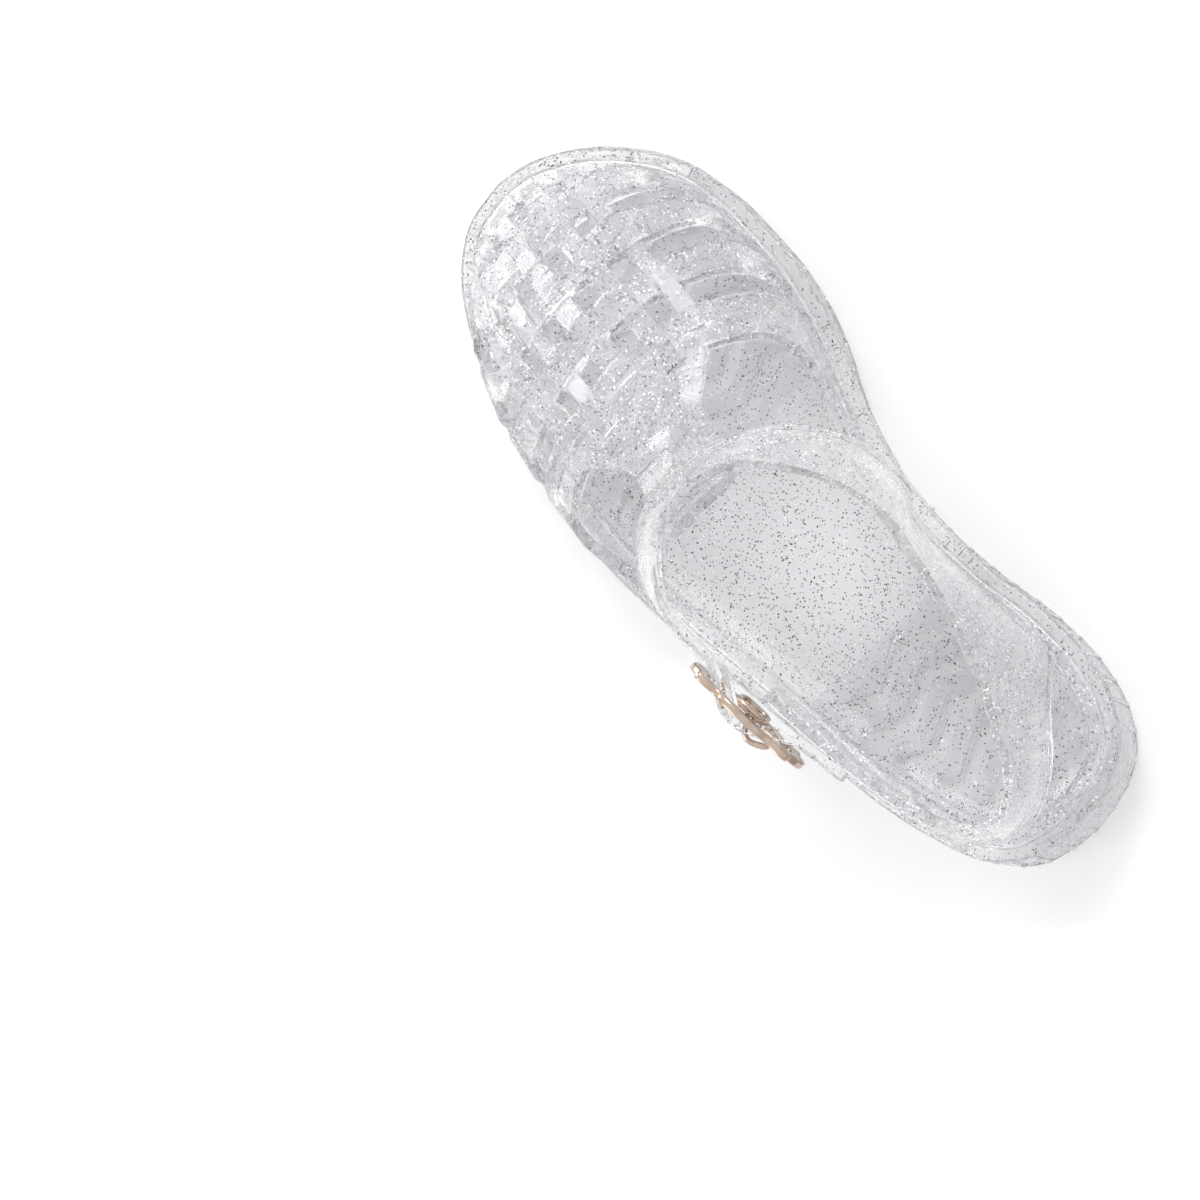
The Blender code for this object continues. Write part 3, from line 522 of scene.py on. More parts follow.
def toeFoot(x):
    # The y at which a long strip's edge reaches the flange at the toe
    low, high = toeSearchFrom, toeEnd
    for _ in range(searchSteps):
        middle = (low + high) / 2
        inside = footX(middle, False) < longEdgeX(x, middle) < footX(middle, True)
        if inside and ridgeHeight(middle) > flangeHeight(middle) - footSunk:
            low = middle
        else:
            high = middle
    return low


def vampGrid():
    # Points of the vamp: rows from the toe back, columns from medial to lateral
    rows = []
    side = len(sideSteps)
    first = crossEdge(0)
    for share in toeSteps:
        row = [None] * (side * 2 + len(longEdges))
        for k, x in enumerate(longEdges):
            start = spotOnLongEdge(x, first)[0]
            y = start + (toeFoot(x) - start) * share
            row[side + k] = vampPoint(y, angleAt(longEdgeX(x, y), y))
        rows.append(row)
    for r in range(len(crossEdges)):
        edge = crossEdge(r)
        crossings = [spotOnLongEdge(x, edge) for x in longEdges]
        angles = [crossings[0][1] * step for step in sideSteps]
        angles += [angle for _, angle in crossings]
        rest = 180 - crossings[-1][1]
        angles += [180 - rest * step for step in sideSteps[::-1]]
        rows.append([vampPoint(edge(angle), angle) for angle in angles])
    return rows


def tBarGrid(columns):
    # Rows of the T-bar, with one point for each long strip edge it grows from
    rows = []
    sections = list(along(tBarRows[1:-1], 2)) + [np.array(tBarRows[-1])]
    for y, height, medial, lateral, crown in sections:
        middle = (medial + lateral) / 2
        half = (medial - lateral) / 2
        row = []
        for k in range(columns):
            x = medial + (lateral - medial) * k / (columns - 1)
            off = (x - middle) / half
            row.append((x, y - crownForward * crown * off * off, height - crown * off * off))
        rows.append(row)
    return rows


def wovenVamp():
    # The vamp and T-bar as one wall, with each strip raised where it crosses over another
    bm = bmesh.new()
    side = len(sideSteps)
    grid = vampGrid()
    points = [[p and bm.verts.new(p) for p in row] for row in grid]
    toeRows = len(toeSteps)
    longCells = {side + 2 * k for k in range(longCount)}
    bar = tBarGrid(len(longEdges) - 1)
    cells = {}

    def cell(r, c):
        corners = (points[r][c], points[r][c + 1], points[r + 1][c + 1], points[r + 1][c])
        if all(corners):
            cells[r, c] = bm.faces.new(corners)

    for r in range(len(points) - 1):
        past = r - toeRows
        cross = past >= 0 and past % 2 == 0 or past >= 2 * (crossCount - 1)
        for c in range(len(points[0]) - 1):
            if cross or c in longCells:
                cell(r, c)
    previous = points[-1][side + 1 : side + len(longEdges)]
    for row in bar:
        current = [bm.verts.new(p) for p in row]
        for c in range(len(current) - 1):
            bm.faces.new((previous[c], previous[c + 1], current[c + 1], current[c]))
        previous = current
    bmesh.ops.recalc_face_normals(bm, faces=bm.faces)
    if cells[toeRows, side + 4].normal.z < 0:
        bmesh.ops.reverse_faces(bm, faces=bm.faces)
    bm.normal_update()
    outward = {vertex: vertex.normal.copy() for vertex in bm.verts}
    places = {}
    for r, row in enumerate(points):
        for c, vertex in enumerate(row):
            if vertex:
                places[spotKey(vertex)] = (vertex.normal.copy(), (r, c))
    wallInward(bm, outward, strapWall)

    for k in range(longCount):
        for i in range(crossCount):
            over = (k % 2 == 0) == (i % 2 == 0)
            column = side + 2 * k
            row = toeRows + 2 * i
            if over:
                run = [(row - 1, column), (row, column), (row + 1, column)]
                lift = {row - 1: 0, row: 1, row + 1: 1, row + 2: 0}
                if i == 0:
                    run = [(row - 2, column)] + run
                    lift.update({row - 2: 0, row - 1: endLift})
                if i == crossCount - 1:
                    lift[row + 2] = endLift
                raiseRun(bm, [cells[c] for c in run], places, lift, 0)
            else:
                run = [(row, column - 1), (row, column), (row, column + 1)]
                lift = {column: 1, column + 1: 1, column - 1: 0, column + 2: 0}
                if k == 0:
                    lift.update({column - 1: endLift, column - 2: 0})
                    run.append((row, column - 2))
                if k == longCount - 1:
                    lift.update({column + 2: endLift, column + 3: 0})
                    run.append((row, column + 2))
                raiseRun(bm, [cells[c] for c in run if c in cells], places, lift, 1)
    bmesh.ops.remove_doubles(bm, verts=bm.verts, dist=weldReach)
    return bm


def wallInward(bm, outward, thickness):
    # Turns the open surface into a closed wall, keeping the given faces as its outside
    faces = list(bm.faces)
    twins = {v: bm.verts.new(v.co - n * thickness) for v, n in outward.items()}
    rims = [(e.verts[0], e.verts[1], e.link_faces[0]) for e in bm.edges if e.is_boundary]
    for face in faces:
        bm.faces.new([twins[v] for v in reversed(face.verts)])
    for a, b, face in rims:
        order = list(face.verts)
        if order[(order.index(a) + 1) % len(order)] is not b:
            a, b = b, a
        bm.faces.new((b, a, twins[a], twins[b]))


def spotKey(vertex):
    return tuple(round(value, 5) for value in vertex.co)


def raiseRun(bm, faces, places, lift, axis):
    # Lifts the faces of one strip where it passes over another, tapering to nothing at its ends
    made = bmesh.ops.extrude_face_region(bm, geom=faces)
    bmesh.ops.delete(bm, geom=[f for f in faces if f.is_valid], context="FACES")
    for top in made["geom"]:
        if isinstance(top, bmesh.types.BMVert):
            normal, index = places[spotKey(top)]
            top.co += normal * (weaveLift * lift.get(index[axis], 0))


# The border's insets, each with its width and how far it sinks what is inside
bandLook = {"rowSteps": 2, "across": 4, "border": ((0.8, 0.0), (0.3, 0.3))}


def band():
    # Strap, quarters and heel band as one bent ribbon
    bm = bmesh.new()
    rows = along(bandRows[1:], bandLook["rowSteps"])
    lower, upper, bulge = rows[:, :3], rows[:, 3:6], rows[:, 6]
    middle = (lower + upper) / 2
    forward = np.gradient(middle, axis=0)
    across = bandLook["across"]
    points = []
    for i in range(len(rows)):
        normal = np.cross(upper[i] - lower[i], forward[i])
        normal /= np.linalg.norm(normal)
        row = []
        for k in range(across + 1):
            t = k / across
            spot = lower[i] + (upper[i] - lower[i]) * t + normal * bulge[i] * 4 * t * (1 - t)
            row.append(bm.verts.new(spot))
        points.append(row)
    for one, two in zip(points, points[1:]):
        for k in range(across):
            bm.faces.new((one[k], one[k + 1], two[k + 1], two[k]))
    bmesh.ops.recalc_face_normals(bm, faces=bm.faces)
    bm.faces.ensure_lookup_table()
    if bm.faces[0].normal.x > 0:
        bmesh.ops.reverse_faces(bm, faces=bm.faces)
    bm.normal_update()
    wallInward(bm, {v: v.normal.copy() for v in bm.verts}, strapWall)
    return bm


def keeper():
    # The loop on the tab that holds the strap down
    bm = bmesh.new()
    down = Vector((math.cos(keeperSlope), -math.sin(keeperSlope)))
    off = Vector((math.sin(keeperSlope), math.cos(keeperSlope)))
    root = Vector(keeperRoot)
    path = [Vector(p) for p in keeperPath]
    rings = []
    for i, (s, n) in enumerate(path):
        before = path[max(i - 1, 0)]
        after = path[min(i + 1, len(path) - 1)]
        way = (after - before).normalized()
        inward = Vector((way.y, -way.x))
        ring = []
        for depth in (0, keeperWall):
            flat = Vector((s, n)) + inward * depth
            spot = root + down * flat.x + off * flat.y
            for x in keeperSpan if depth == 0 else keeperSpan[::-1]:
                ring.append(bm.verts.new((x, spot.x, spot.y)))
        rings.append(ring)
    for one, two in zip(rings, rings[1:]):
        loopFaces(bm, one, two)
    bm.faces.new(rings[0])
    bm.faces.new(rings[-1][::-1])
    return bm


def frameAxes():
    # Origin and axes of the buckle's plane: along the strap, up, and outward
    front, rear = Vector(frameFront), Vector(frameRear)
    alongStrap = (rear - front).normalized()
    up = Vector((0, 0, 1))
    up = (up - alongStrap * up.dot(alongStrap)).normalized()
    out = up.cross(alongStrap)
    if out.x > 0:
        out = -out
    return (front + rear) / 2, alongStrap, up, out, (rear - front).length


def frameOutline(halfLength, halfHeight, wave, steps):
    # A rounded oblong with a gently waved edge
    found = []
    for i in range(steps):
        turn = 2 * math.pi * i / steps
        c, s = math.cos(turn), math.sin(turn)
        reach = 1 + wave / halfHeight * math.cos(2 * frameWaves * turn)
        a = math.copysign(abs(c) ** plateSquare, c) * halfLength * reach
        b = math.copysign(abs(s) ** plateSquare, s) * halfHeight * reach
        found.append((a, b))
    return found


def tube(bm, path, radius, sides=8):
    # A round rod along the path, closed at both ends
    rings = []
    previous = None
    for i, spot in enumerate(path):
        way = (path[min(i + 1, len(path) - 1)] - path[max(i - 1, 0)]).normalized()
        if previous is None:
            previous = way.orthogonal().normalized()
        first = (previous - way * previous.dot(way)).normalized()
        previous = first
        second = way.cross(first)
        ring = []
        for k in range(sides):
            turn = 2 * math.pi * k / sides
            away = first * math.cos(turn) + second * math.sin(turn)
            ring.append(bm.verts.new(spot + away * radius))
        rings.append(ring)
    for one, two in zip(rings, rings[1:]):
        loopFaces(bm, one, two)
    bm.faces.new(rings[0][::-1])
    bm.faces.new(rings[-1])


def centreBar():
    bm = bmesh.new()
    centre, _, up, out, _ = frameAxes()
    reach = frameHalfHeight - frameBorder + barOverlap
    middle = centre + out * (frameThick / 2)
    tube(bm, [middle - up * reach, middle + up * reach], barRadius)
    return bm


def prong():
    # A hook round the middle bar whose tongue lies on the strap
    bm = bmesh.new()
    centre, strap, _, out, _ = frameAxes()
    middle = centre + out * (frameThick / 2)
    reach = barRadius + seatGap + prongRadius
    path = []
    for degrees in prongTurns:
        turn = math.radians(degrees)
        path.append(middle + (strap * math.cos(turn) - out * math.sin(turn)) * reach)
    path = path[::-1]
    tip = path[-1]
    path += [tip + strap * a + out * b for a, b in prongTongue]
    tube(bm, path, prongRadius)
    return bm


def holeCutter():
    # The hole in the strap that the prong comes through
    bm = bmesh.new()
    centre, strap, up, out, _ = frameAxes()
    offset, halfLength, halfWidth, halfDepth = prongHole
    middle = centre + out * (frameThick / 2 + halfDepth) + strap * offset
    corners = bmesh.ops.create_cube(bm, size=2)["verts"]
    for vertex in corners:
        a, b, c = vertex.co
        vertex.co = middle + strap * a * halfLength + up * b * halfWidth + out * c * halfDepth
    return bm


def clip():
    # The wire loop between the middle bar and the lateral quarter
    bm = bmesh.new()
    centre, strap, up, out, _ = frameAxes()
    middle = centre - out * (seatGap + clipWire)
    path = []
    for degrees in clipTurns:
        turn = math.radians(degrees)
        c, s = math.cos(turn), math.sin(turn)
        a = math.copysign(abs(c) ** clipSquare, c) * clipReach[0]
        b = math.copysign(abs(s) ** clipSquare, s) * clipReach[1]
        path.append(middle + strap * a + up * b)
    rings = []
    for i, spot in enumerate(path):
        way = (path[(i + 1) % len(path)] - path[i - 1]).normalized()
        side = way.cross(out).normalized()
        ring = []
        for k in range(wireSides):
            turn = 2 * math.pi * k / wireSides
            away = side * math.cos(turn) + out * math.sin(turn)
            ring.append(bm.verts.new(spot + away * clipWire))
        rings.append(ring)
    for one, two in zip(rings, rings[1:] + rings[:1]):
        loopFaces(bm, one, two)
    return bm


def soleBody():
    bm = bmesh.new()
    loop = planLoop()
    rings = []
    for inset, fromTop, height in soleSection[1:]:
        level = flangeHeight if fromTop else groundHeight
        spots = [(x, y, level(y) + height) for x, y in insetLoop(loop, inset)]
        rings.append([bm.verts.new(spot) for spot in spots])
    bed = list(rings[-1])
    centreX = np.mean([vertex.co.x for vertex in bed])
    for width, length, drop in dishRows:
        spots = []
        for vertex in bed:
            x, y, z = vertex.co
            spots.append((centreX + (x - centreX) * width, y * length, z + drop))
        rings.append([bm.verts.new(spot) for spot in spots])
    for lower, upper in zip(rings, rings[1:]):
        loopFaces(bm, lower, upper)
    capAcross(bm, rings[0])
    capAcross(bm, rings[-1])
    return bm


def baseRim():
    bm = bmesh.new()
    loop = planLoop()
    rings = []
    for inset, height in rimSection:
        spots = insetLoop(loop, inset)
        rings.append([bm.verts.new((x, y, flangeHeight(y) + height)) for x, y in spots])
    for lower, upper in zip(rings, rings[1:] + rings[:1]):
        loopFaces(bm, lower, upper)
    return bm


def buckleRing():
    # The waved plate: two outlines bridged, then given its thickness
    bm = bmesh.new()
    centre, strap, up, out, length = frameAxes()
    steps = plateSteps
    outer = frameOutline(length / 2, frameHalfHeight, frameWave, steps)
    inner = frameOutline(length / 2 - frameBorder, frameHalfHeight - frameBorder, 0.0, steps)
    edges = []
    for outline in (outer, inner):
        ring = [bm.verts.new(centre + strap * a + up * b) for a, b in outline]
        edges += [bm.edges.new((ring[i], ring[(i + 1) % steps])) for i in range(steps)]
    bmesh.ops.bridge_loops(bm, edges=edges)
    made = bmesh.ops.extrude_face_region(bm, geom=bm.faces[:], use_keep_orig=True)
    lifted = [part for part in made["geom"] if isinstance(part, bmesh.types.BMVert)]
    bmesh.ops.translate(bm, verts=lifted, vec=out * frameThick)
    return bm


def rimmedBand():
    # A raised border runs along both edges of the strap and the quarters
    bm = band()
    bm.faces.ensure_lookup_table()
    outside = bm.faces[:(len(bandRows) - 2) * bandLook["rowSteps"] * bandLook["across"]]
    for width, sink in bandLook["border"]:
        bmesh.ops.inset_region(
            bm, faces=outside, thickness=width, depth=-sink, use_even_offset=True
        )
    return bm


def makePiece(name, bm, material=None):
    for vertex in bm.verts:
        vertex.co = (vertex.co - boxMiddle) * mm
    bm.normal_update()
    bmesh.ops.recalc_face_normals(bm, faces=bm.faces)
    mesh = bpy.data.meshes.new(name)
    bm.to_mesh(mesh)
    bm.free()
    piece = bpy.data.objects.new(name, mesh)
    bpy.context.scene.collection.objects.link(piece)
    if material:
        mesh.materials.append(material)
    return piece


def creaseSharp(bm, degrees=38):
    # Folds stay where the strips have their edges
    bm.normal_update()
    crease = bm.edges.layers.float.new("crease_edge")
    for edge in bm.edges:
        if len(edge.link_faces) == 2 and edge.calc_face_angle() > math.radians(degrees):
            edge[crease] = 1.0
    return bm


def smoothed(piece, levels):
    finer = piece.modifiers.new("smoother", "SUBSURF")
    finer.levels = finer.render_levels = levels
    return piece


def rounded(piece, width, segments=3, degrees=40):
    edge = piece.modifiers.new("soft edges", "BEVEL")
    edge.width = width * mm
    edge.segments = segments
    edge.limit_method = "ANGLE"
    edge.angle_limit = math.radians(degrees)
    return piece


helpers = []


def joined(piece, helper, cut=False):
    union = piece.modifiers.new("joined", "BOOLEAN")
    union.operation = "DIFFERENCE" if cut else "UNION"
    union.solver = "EXACT"
    union.object = helper
    helpers.append(helper)
    return piece


def settled(piece, degrees=32):
    # The piece's modifiers become its mesh
    bpy.context.view_layer.update()
    graph = bpy.context.evaluated_depsgraph_get()
    shape = bpy.data.meshes.new_from_object(piece.evaluated_get(graph))
    piece.modifiers.clear()
    piece.data = shape
    for face in shape.polygons:
        face.use_smooth = True
    shape.set_sharp_from_angle(angle=math.radians(degrees))
    return piece


def shaderMaterial(name):
    material = bpy.data.materials.new(name)
    material.use_nodes = True
    return material, material.node_tree.nodes, material.node_tree.links


rippleDetail = 3.0
rippleReach = 0.0006
cloudDetail = 4.0


def clearVinyl(name, look):
    material, nodes, links = shaderMaterial(name)
    shader = nodes["Principled BSDF"]
    shader.inputs["Base Color"].default_value = (*look["colour"], 1)
    shader.inputs["Transmission Weight"].default_value = look["clear"]
    shader.inputs["IOR"].default_value = look["ior"]
    shader.inputs["Alpha"].default_value = look["body"]
    place = nodes.new("ShaderNodeTexCoord")
    ripple = nodes.new("ShaderNodeTexNoise")
    ripple.inputs["Scale"].default_value = look["rippleScale"]
    ripple.inputs["Detail"].default_value = rippleDetail
    links.new(place.outputs["Object"], ripple.inputs["Vector"])
    gloss = nodes.new("ShaderNodeMapRange")
    gloss.inputs["To Min"].default_value = look["smooth"]
    gloss.inputs["To Max"].default_value = look["dull"]
    links.new(ripple.outputs["Fac"], gloss.inputs["Value"])
    links.new(gloss.outputs["Result"], shader.inputs["Roughness"])
    bump = nodes.new("ShaderNodeBump")
    bump.inputs["Strength"].default_value = look["rippleDepth"]
    bump.inputs["Distance"].default_value = rippleReach
    links.new(ripple.outputs["Fac"], bump.inputs["Height"])
    links.new(bump.outputs["Normal"], shader.inputs["Normal"])
    return material


def plainFinish(name, look):
    material, nodes, links = shaderMaterial(name)
    shader = nodes["Principled BSDF"]
    shader.inputs["Metallic"].default_value = look["metal"]
    place = nodes.new("ShaderNodeTexCoord")
    cloud = nodes.new("ShaderNodeTexNoise")
    cloud.inputs["Scale"].default_value = look["scale"]
    cloud.inputs["Detail"].default_value = cloudDetail
    links.new(place.outputs["Object"], cloud.inputs["Vector"])
    tint = nodes.new("ShaderNodeMix")
    tint.data_type = "RGBA"
    tint.inputs["A"].default_value = (*look["dark"], 1)
    tint.inputs["B"].default_value = (*look["light"], 1)
    links.new(cloud.outputs["Fac"], tint.inputs["Factor"])
    links.new(tint.outputs["Result"], shader.inputs["Base Color"])
    gloss = nodes.new("ShaderNodeMapRange")
    gloss.inputs["To Min"].default_value = look["smooth"]
    gloss.inputs["To Max"].default_value = look["dull"]
    links.new(cloud.outputs["Fac"], gloss.inputs["Value"])
    links.new(gloss.outputs["Result"], shader.inputs["Roughness"])
    return material


# Depths under the skin, how far the others stand proud, and the height left bare at the ground
flakeSkin = {"under": (0.15, 0.8), "proud": 0.02, "bareBelow": 0.4, "sides": 6, "leastArea": 1e-12}


def flakes(name, pieces, look, material):
    # Six-sided flakes lying in and just under the skin of the vinyl
    draw = np.random.default_rng(look["seed"])
    corners, normals, areas = [], [], []
    for piece in pieces:
        mesh = piece.data
        mesh.calc_loop_triangles()
        count = len(mesh.loop_triangles)
        spots = np.empty(len(mesh.vertices) * 3)
        mesh.vertices.foreach_get("co", spots)
        index = np.empty(count * 3, int)
        mesh.loop_triangles.foreach_get("vertices", index)
        corner = spots.reshape(-1, 3)[index].reshape(-1, 3, 3)
        cross = np.cross(corner[:, 1] - corner[:, 0], corner[:, 2] - corner[:, 0])
        size = np.linalg.norm(cross, axis=1)
        keep = size > flakeSkin["leastArea"]
        corners.append(corner[keep])
        normals.append(cross[keep] / size[keep][:, None])
        areas.append(size[keep] / 2)
    corners, normals, areas = np.vstack(corners), np.vstack(normals), np.concatenate(areas)
    count = int(areas.sum() / mm ** 2 * look["perSquare"])
    areas[corners[:, :, 2].max(axis=1) < flakeSkin["bareBelow"] * mm] = 0
    chosen = draw.choice(len(areas), count, p=areas / areas.sum())
    a, b = draw.random(count), draw.random(count)
    flip = a + b > 1
    a[flip], b[flip] = 1 - a[flip], 1 - b[flip]
    tri = corners[chosen]
    normal = normals[chosen]
    hidden = draw.random(count) < look["buried"]
    under = draw.uniform(*flakeSkin["under"], count)
    depth = np.where(hidden, under, -flakeSkin["proud"]) * mm
    centre = tri[:, 0] + (tri[:, 1] - tri[:, 0]) * a[:, None] + (tri[:, 2] - tri[:, 0]) * b[:, None]
    centre -= normal * depth[:, None]
    lean = normal + draw.normal(0, look["lean"], (count, 3)) * (depth > 0)[:, None]
    lean /= np.linalg.norm(lean, axis=1)[:, None]
    first = np.cross(lean, draw.normal(0, 1, (count, 3)))
    first /= np.linalg.norm(first, axis=1)[:, None]
    second = np.cross(lean, first)
    radius = draw.uniform(*look["radius"], count) * mm
    sides = flakeSkin["sides"]
    turn = np.arange(sides) * 2 * math.pi / sides
    rim = first[:, None] * np.cos(turn)[None, :, None]
    rim = rim + second[:, None] * np.sin(turn)[None, :, None]
    points = (centre[:, None] + rim * radius[:, None, None]).reshape(-1, 3)
    mesh = bpy.data.meshes.new(name)
    mesh.from_pydata(points.tolist(), [], np.arange(count * sides).reshape(-1, sides).tolist())
    mesh.materials.append(material)
    piece = bpy.data.objects.new(name, mesh)
    bpy.context.scene.collection.objects.link(piece)
    print("flakes", name, count)
    return piece


soleLook = {"colour": (0.985, 0.985, 0.995), "clear": 0.92, "ior": 1.34, "body": 0.76,
            "rippleScale": 260.0, "smooth": 0.03, "dull": 0.16, "rippleDepth": 0.1}
upperLook = {"colour": (0.985, 0.985, 0.995), "clear": 0.93, "ior": 1.36, "body": 0.84,
             "rippleScale": 180.0, "smooth": 0.02, "dull": 0.1, "rippleDepth": 0.08}
frostLook = {"colour": (0.85, 0.85, 0.91), "clear": 0.55, "ior": 1.3, "body": 0.78,
             "rippleScale": 400.0, "smooth": 0.35, "dull": 0.6, "rippleDepth": 0.2}
metalLook = {"metal": 1.0, "scale": 300.0, "dark": (0.40, 0.31, 0.25), "light": (0.68, 0.55, 0.45),
             "smooth": 0.12, "dull": 0.28}
brightLook = {"metal": 0.0, "scale": 900.0, "dark": (0.9, 0.9, 0.92), "light": (1.0, 1.0, 1.0),
              "smooth": 0.2, "dull": 0.5}
darkLook = {"metal": 0.6, "scale": 900.0, "dark": (0.01, 0.01, 0.012), "light": (0.08, 0.08, 0.09),
            "smooth": 0.2, "dull": 0.5}
floorLook = {"metal": 0.0, "scale": 2.0, "dark": (0.93, 0.93, 0.93), "light": (0.95, 0.95, 0.95),
             "smooth": 0.6, "dull": 0.8}

soleVinyl = clearVinyl("soleVinyl", soleLook)
upperVinyl = clearVinyl("upperVinyl", upperLook)
grooveVinyl = clearVinyl("grooveVinyl", frostLook)
roseMetal = plainFinish("roseMetal", metalLook)
brightFlake = plainFinish("brightFlake", brightLook)
darkFlake = plainFinish("darkFlake", darkLook)
paleFloor = plainFinish("paleFloor", floorLook)

print("sole")
sole = makePiece("soleUnit", soleBody(), soleVinyl)
joined(sole, makePiece("treadHelper", treadBars()))
joined(sole, makePiece("ribHelper", sideRibs()))
settled(sole)
sole.data.materials.append(grooveVinyl)
# The tread's recessed floor: its stretches along the sole, its height, and how far it faces down
grooves = {"heel": (-82, -31), "fore": (19, 78), "above": (1.5, 3.3), "facing": -0.5}
for face in sole.data.polygons:
    spot = face.center / mm + boxMiddle
    above = spot.z - groundHeight(spot.y)
    treaded = any(low < spot.y < high for low, high in (grooves["heel"], grooves["fore"]))
    low, high = grooves["above"]
    if treaded and low < above < high and face.normal.z < grooves["facing"]:
        face.material_index = 1
print("sole faces", len(sole.data.polygons))

print("woven upper")
upperEdges = {"strips": 0.5, "stripSegments": 2, "keeper": 0.6}
smoothLevels = 2
weave = makePiece("wovenVamp", creaseSharp(wovenVamp()), upperVinyl)
rounded(smoothed(weave, smoothLevels), upperEdges["strips"], upperEdges["stripSegments"])
settled(weave)
bandPiece = makePiece("ankleBand", creaseSharp(rimmedBand()), upperVinyl)
rounded(smoothed(bandPiece, smoothLevels), upperEdges["strips"], upperEdges["stripSegments"])
joined(bandPiece, makePiece("holeHelper", holeCutter()), cut=True)
settled(bandPiece)
keeperPiece = makePiece("keeperLoop", keeper(), upperVinyl)
settled(rounded(keeperPiece, upperEdges["keeper"]))
rimPiece = settled(makePiece("seatRim", baseRim(), upperVinyl))
upperPieces = [weave, bandPiece, keeperPiece, rimPiece]
print("upper faces", [len(piece.data.polygons) for piece in upperPieces])

print("buckle")
plateEdge = 0.35
plate = settled(rounded(makePiece("bucklePlate", buckleRing(), roseMetal), plateEdge))
barPiece = settled(smoothed(makePiece("buckleBar", centreBar(), roseMetal), smoothLevels))
prongPiece = settled(smoothed(makePiece("buckleTongue", prong(), roseMetal), smoothLevels))
clipPiece = settled(smoothed(makePiece("buckleLoop", clip(), roseMetal), smoothLevels))

for helper in helpers:
    bpy.data.objects.remove(helper)

print("glitter")
# Flakes to a square millimetre, the share of them buried, how much they lean, and their radii
soleBright = {"seed": 11, "perSquare": 0.2, "buried": 0.5, "lean": 0.3, "radius": (0.12, 0.24)}
soleDark = {"seed": 12, "perSquare": 0.5, "buried": 0.35, "lean": 0.3, "radius": (0.1, 0.2)}
upperBright = {"seed": 13, "perSquare": 0.36, "buried": 0.4, "lean": 0.3, "radius": (0.13, 0.26)}
upperDark = {"seed": 14, "perSquare": 0.26, "buried": 0.3, "lean": 0.3, "radius": (0.1, 0.2)}
soleGlitter = [
    flakes("soleBright", [sole], soleBright, brightFlake),
    flakes("soleDark", [sole], soleDark, darkFlake),
]
upperGlitter = [
    flakes("upperBright", upperPieces, upperBright, brightFlake),
    flakes("upperDark", upperPieces, upperDark, darkFlake),
]

for piece in [sole] + upperPieces + soleGlitter + upperGlitter:
    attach(piece, "root")
for piece in (plate, barPiece, prongPiece, clipPiece):
    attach(piece, "root")
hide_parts("outsole")
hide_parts("upper")
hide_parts("buckle_frame")
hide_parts("buckle_prong")
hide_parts("buckle_clip")

print("stage")
# The floor lies just below the tread, so that the two don't share a plane
floorSize = {"half": 3.0, "cells": 8, "drop": 0.00008}
bm = bmesh.new()
cells = floorSize["cells"]
bmesh.ops.create_grid(bm, x_segments=cells, y_segments=cells, size=floorSize["half"])
bmesh.ops.translate(bm, verts=bm.verts, vec=(0, 0, -floorSize["drop"]))
floorMesh = bpy.data.meshes.new("floor")
bm.to_mesh(floorMesh)
bm.free()
floorMesh.materials.append(paleFloor)
floor = bpy.data.objects.new("floor", floorMesh)
bpy.context.scene.collection.objects.link(floor)

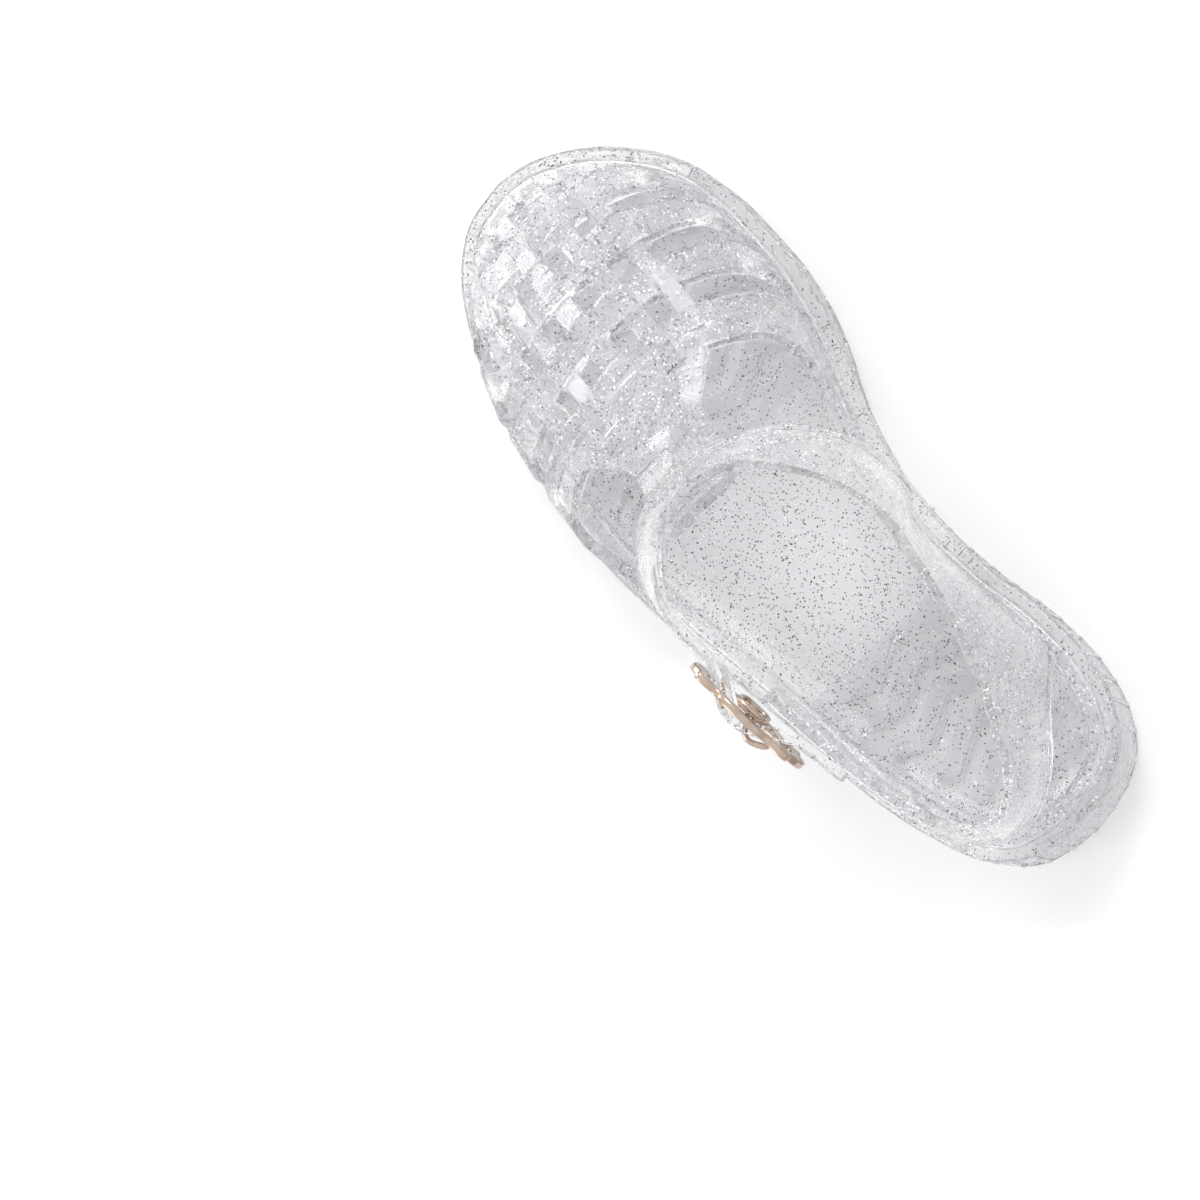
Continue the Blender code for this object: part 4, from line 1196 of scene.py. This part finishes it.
# The photograph's axes, the part's place in them, and the width of the view in metres
cameraLook = {"right": (0.700, -0.657, -0.283), "toward": (0.137, -0.265, 0.9545),
              "originRight": 40.03, "originUp": 16.58, "depth": 18.0, "span": 0.2326,
              "lens": 300.0}
right = Vector(cameraLook["right"]).normalized()
toward = Vector(cameraLook["toward"])
toward = (toward - right * toward.dot(right)).normalized()
upward = toward.cross(right)
aim = toward * cameraLook["depth"] - right * cameraLook["originRight"]
aim = (aim - upward * cameraLook["originUp"] - boxMiddle) * mm
cameraData = bpy.data.cameras.new("camera")
cameraData.lens = cameraLook["lens"]
camera = bpy.data.objects.new("camera", cameraData)
bpy.context.scene.collection.objects.link(camera)
far = cameraLook["span"] * cameraLook["lens"] / cameraData.sensor_width
turned = Matrix((right, upward, toward)).transposed().to_4x4()
camera.matrix_world = Matrix.Translation(aim + toward * far) @ turned
bpy.context.scene.camera = camera

lightLooks = {
    "key": {"where": (0.5, 0.55, 0.9), "size": 0.5, "power": 5.0},
    "side": {"where": (-0.8, 0.2, 0.6), "size": 0.35, "power": 2.0},
    "toeGlare": {"where": (-0.2, 0.95, 0.42), "size": 0.3, "power": 3.0},
}
for name, look in lightLooks.items():
    lamp = bpy.data.lights.new(name, "AREA")
    lamp.size = look["size"]
    lamp.energy = look["power"]
    holder = bpy.data.objects.new(name, lamp)
    bpy.context.scene.collection.objects.link(holder)
    holder.location = look["where"]
    holder.rotation_euler = (-Vector(look["where"])).to_track_quat("-Z", "Y").to_euler()

skyLook = {"low": (0.42, 0.42, 0.45, 1), "high": (1.0, 1.0, 1.0, 1), "highAt": 0.75}
world = bpy.data.worlds.new("studio")
bpy.context.scene.world = world
world.use_nodes = True
skyNodes, skyLinks = world.node_tree.nodes, world.node_tree.links
skyPlace = skyNodes.new("ShaderNodeTexCoord")
skySplit = skyNodes.new("ShaderNodeSeparateXYZ")
skyRamp = skyNodes.new("ShaderNodeValToRGB")
lowEnd, highEnd = skyRamp.color_ramp.elements
lowEnd.position = 0.0
lowEnd.color = skyLook["low"]
highEnd.position = skyLook["highAt"]
highEnd.color = skyLook["high"]
skyLinks.new(skyPlace.outputs["Generated"], skySplit.inputs["Vector"])
skyLinks.new(skySplit.outputs["Z"], skyRamp.inputs["Fac"])
skyLinks.new(skyRamp.outputs["Color"], skyNodes["Background"].inputs["Color"])
skyNodes["Background"].inputs["Strength"].default_value = 1.0
bpy.context.scene.view_settings.view_transform = "Standard"
